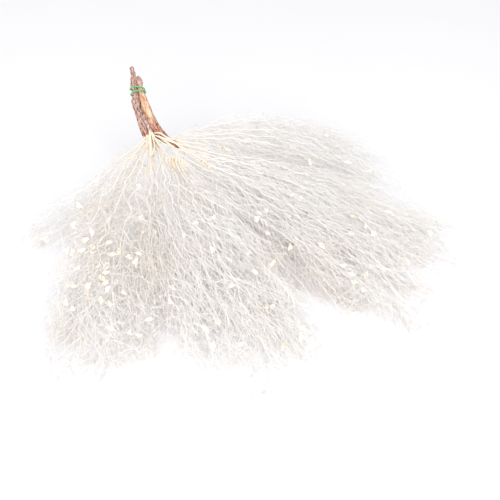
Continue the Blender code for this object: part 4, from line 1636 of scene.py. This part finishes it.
class BUNDLE_OT_stage(Operator):
    """Build the pale floor, the soft light and the camera"""

    bl_idname = "bundle.stage"
    bl_label = "Build Stage"

    def execute(self, context):
        settings = context.scene.stage_settings
        mesh = bpy.data.meshes.new("floor")
        corners = [Vector(corner) * settings.floor_size for corner in FLOOR_CORNERS]
        mesh.from_pydata(corners, [], [(0, 1, 2, 3)])
        mesh.materials.append(floor_material(settings))
        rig.stage(add_object("floor", mesh))

        world = bpy.data.worlds.new("Soft white studio")
        world.use_nodes = True
        sky = world.node_tree.nodes["Background"]
        sky.inputs["Color"].default_value = (1.0, 1.0, 1.0, 1.0)
        sky.inputs["Strength"].default_value = settings.sky_strength
        context.scene.world = world

        add_lamp("key", settings.key_power)
        add_lamp("fill", settings.fill_power)

        lens = bpy.data.cameras.new("camera")
        lens.lens = settings.lens
        lens.sensor_width = 36.0
        camera = add_object("camera", lens)
        camera.location = COLLAR + np.array(CAMERA_FROM_COLLAR) * MM
        camera.rotation_euler = (math.radians(90.0 - CAMERA_PITCH), 0.0, 0.0)
        context.scene.camera = camera
        context.scene.view_settings.view_transform = "Standard"
        return {"FINISHED"}


class BUNDLE_PT_panel(Panel):
    """Sidebar panel that lists the bundle's settings and builders"""

    bl_label = "Grass Bundle"
    bl_idname = "BUNDLE_PT_panel"
    bl_space_type = "VIEW_3D"
    bl_region_type = "UI"
    bl_category = "Grass Bundle"

    def draw(self, context):
        scene = context.scene
        for operator, settings in (
            ("bundle.stalk", scene.stalk_settings),
            ("bundle.tie", scene.tie_settings),
            ("bundle.sprays", scene.grass_settings),
            ("bundle.culms", None),
            ("bundle.sheaths", None),
            ("bundle.bracts", None),
            ("bundle.stage", scene.stage_settings),
        ):
            box = self.layout.box()
            box.operator(operator)
            for label in settings.bl_rna.properties.keys() if settings else ():
                if label not in ("rna_type", "name"):
                    box.prop(settings, label)


SETTINGS = {
    "stalk_settings": StalkSettings,
    "tie_settings": TieSettings,
    "grass_settings": GrassSettings,
    "stage_settings": StageSettings,
}
CLASSES = (
    *SETTINGS.values(),
    BUNDLE_OT_stalk,
    BUNDLE_OT_tie,
    BUNDLE_OT_sprays,
    BUNDLE_OT_culms,
    BUNDLE_OT_sheaths,
    BUNDLE_OT_bracts,
    BUNDLE_OT_stage,
    BUNDLE_PT_panel,
)


def register():
    for cls in CLASSES:
        bpy.utils.register_class(cls)
    for label, cls in SETTINGS.items():
        setattr(bpy.types.Scene, label, PointerProperty(type=cls))


def unregister():
    for label in SETTINGS:
        delattr(bpy.types.Scene, label)
    for cls in reversed(CLASSES):
        bpy.utils.unregister_class(cls)


def main():
    register()
    bpy.ops.bundle.stage()
    bpy.ops.bundle.stalk()
    bpy.ops.bundle.tie()
    bpy.ops.bundle.sprays()
    bpy.ops.bundle.culms()
    bpy.ops.bundle.sheaths()
    bpy.ops.bundle.bracts()
    sizes = {
        "cad": [list(corner) for corner in CAD_BOX],
        "visual": [list(corner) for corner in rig.bounds()],
    }
    with open("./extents.json", "w") as out:
        json.dump(sizes, out)


if __name__ == "__main__":
    main()
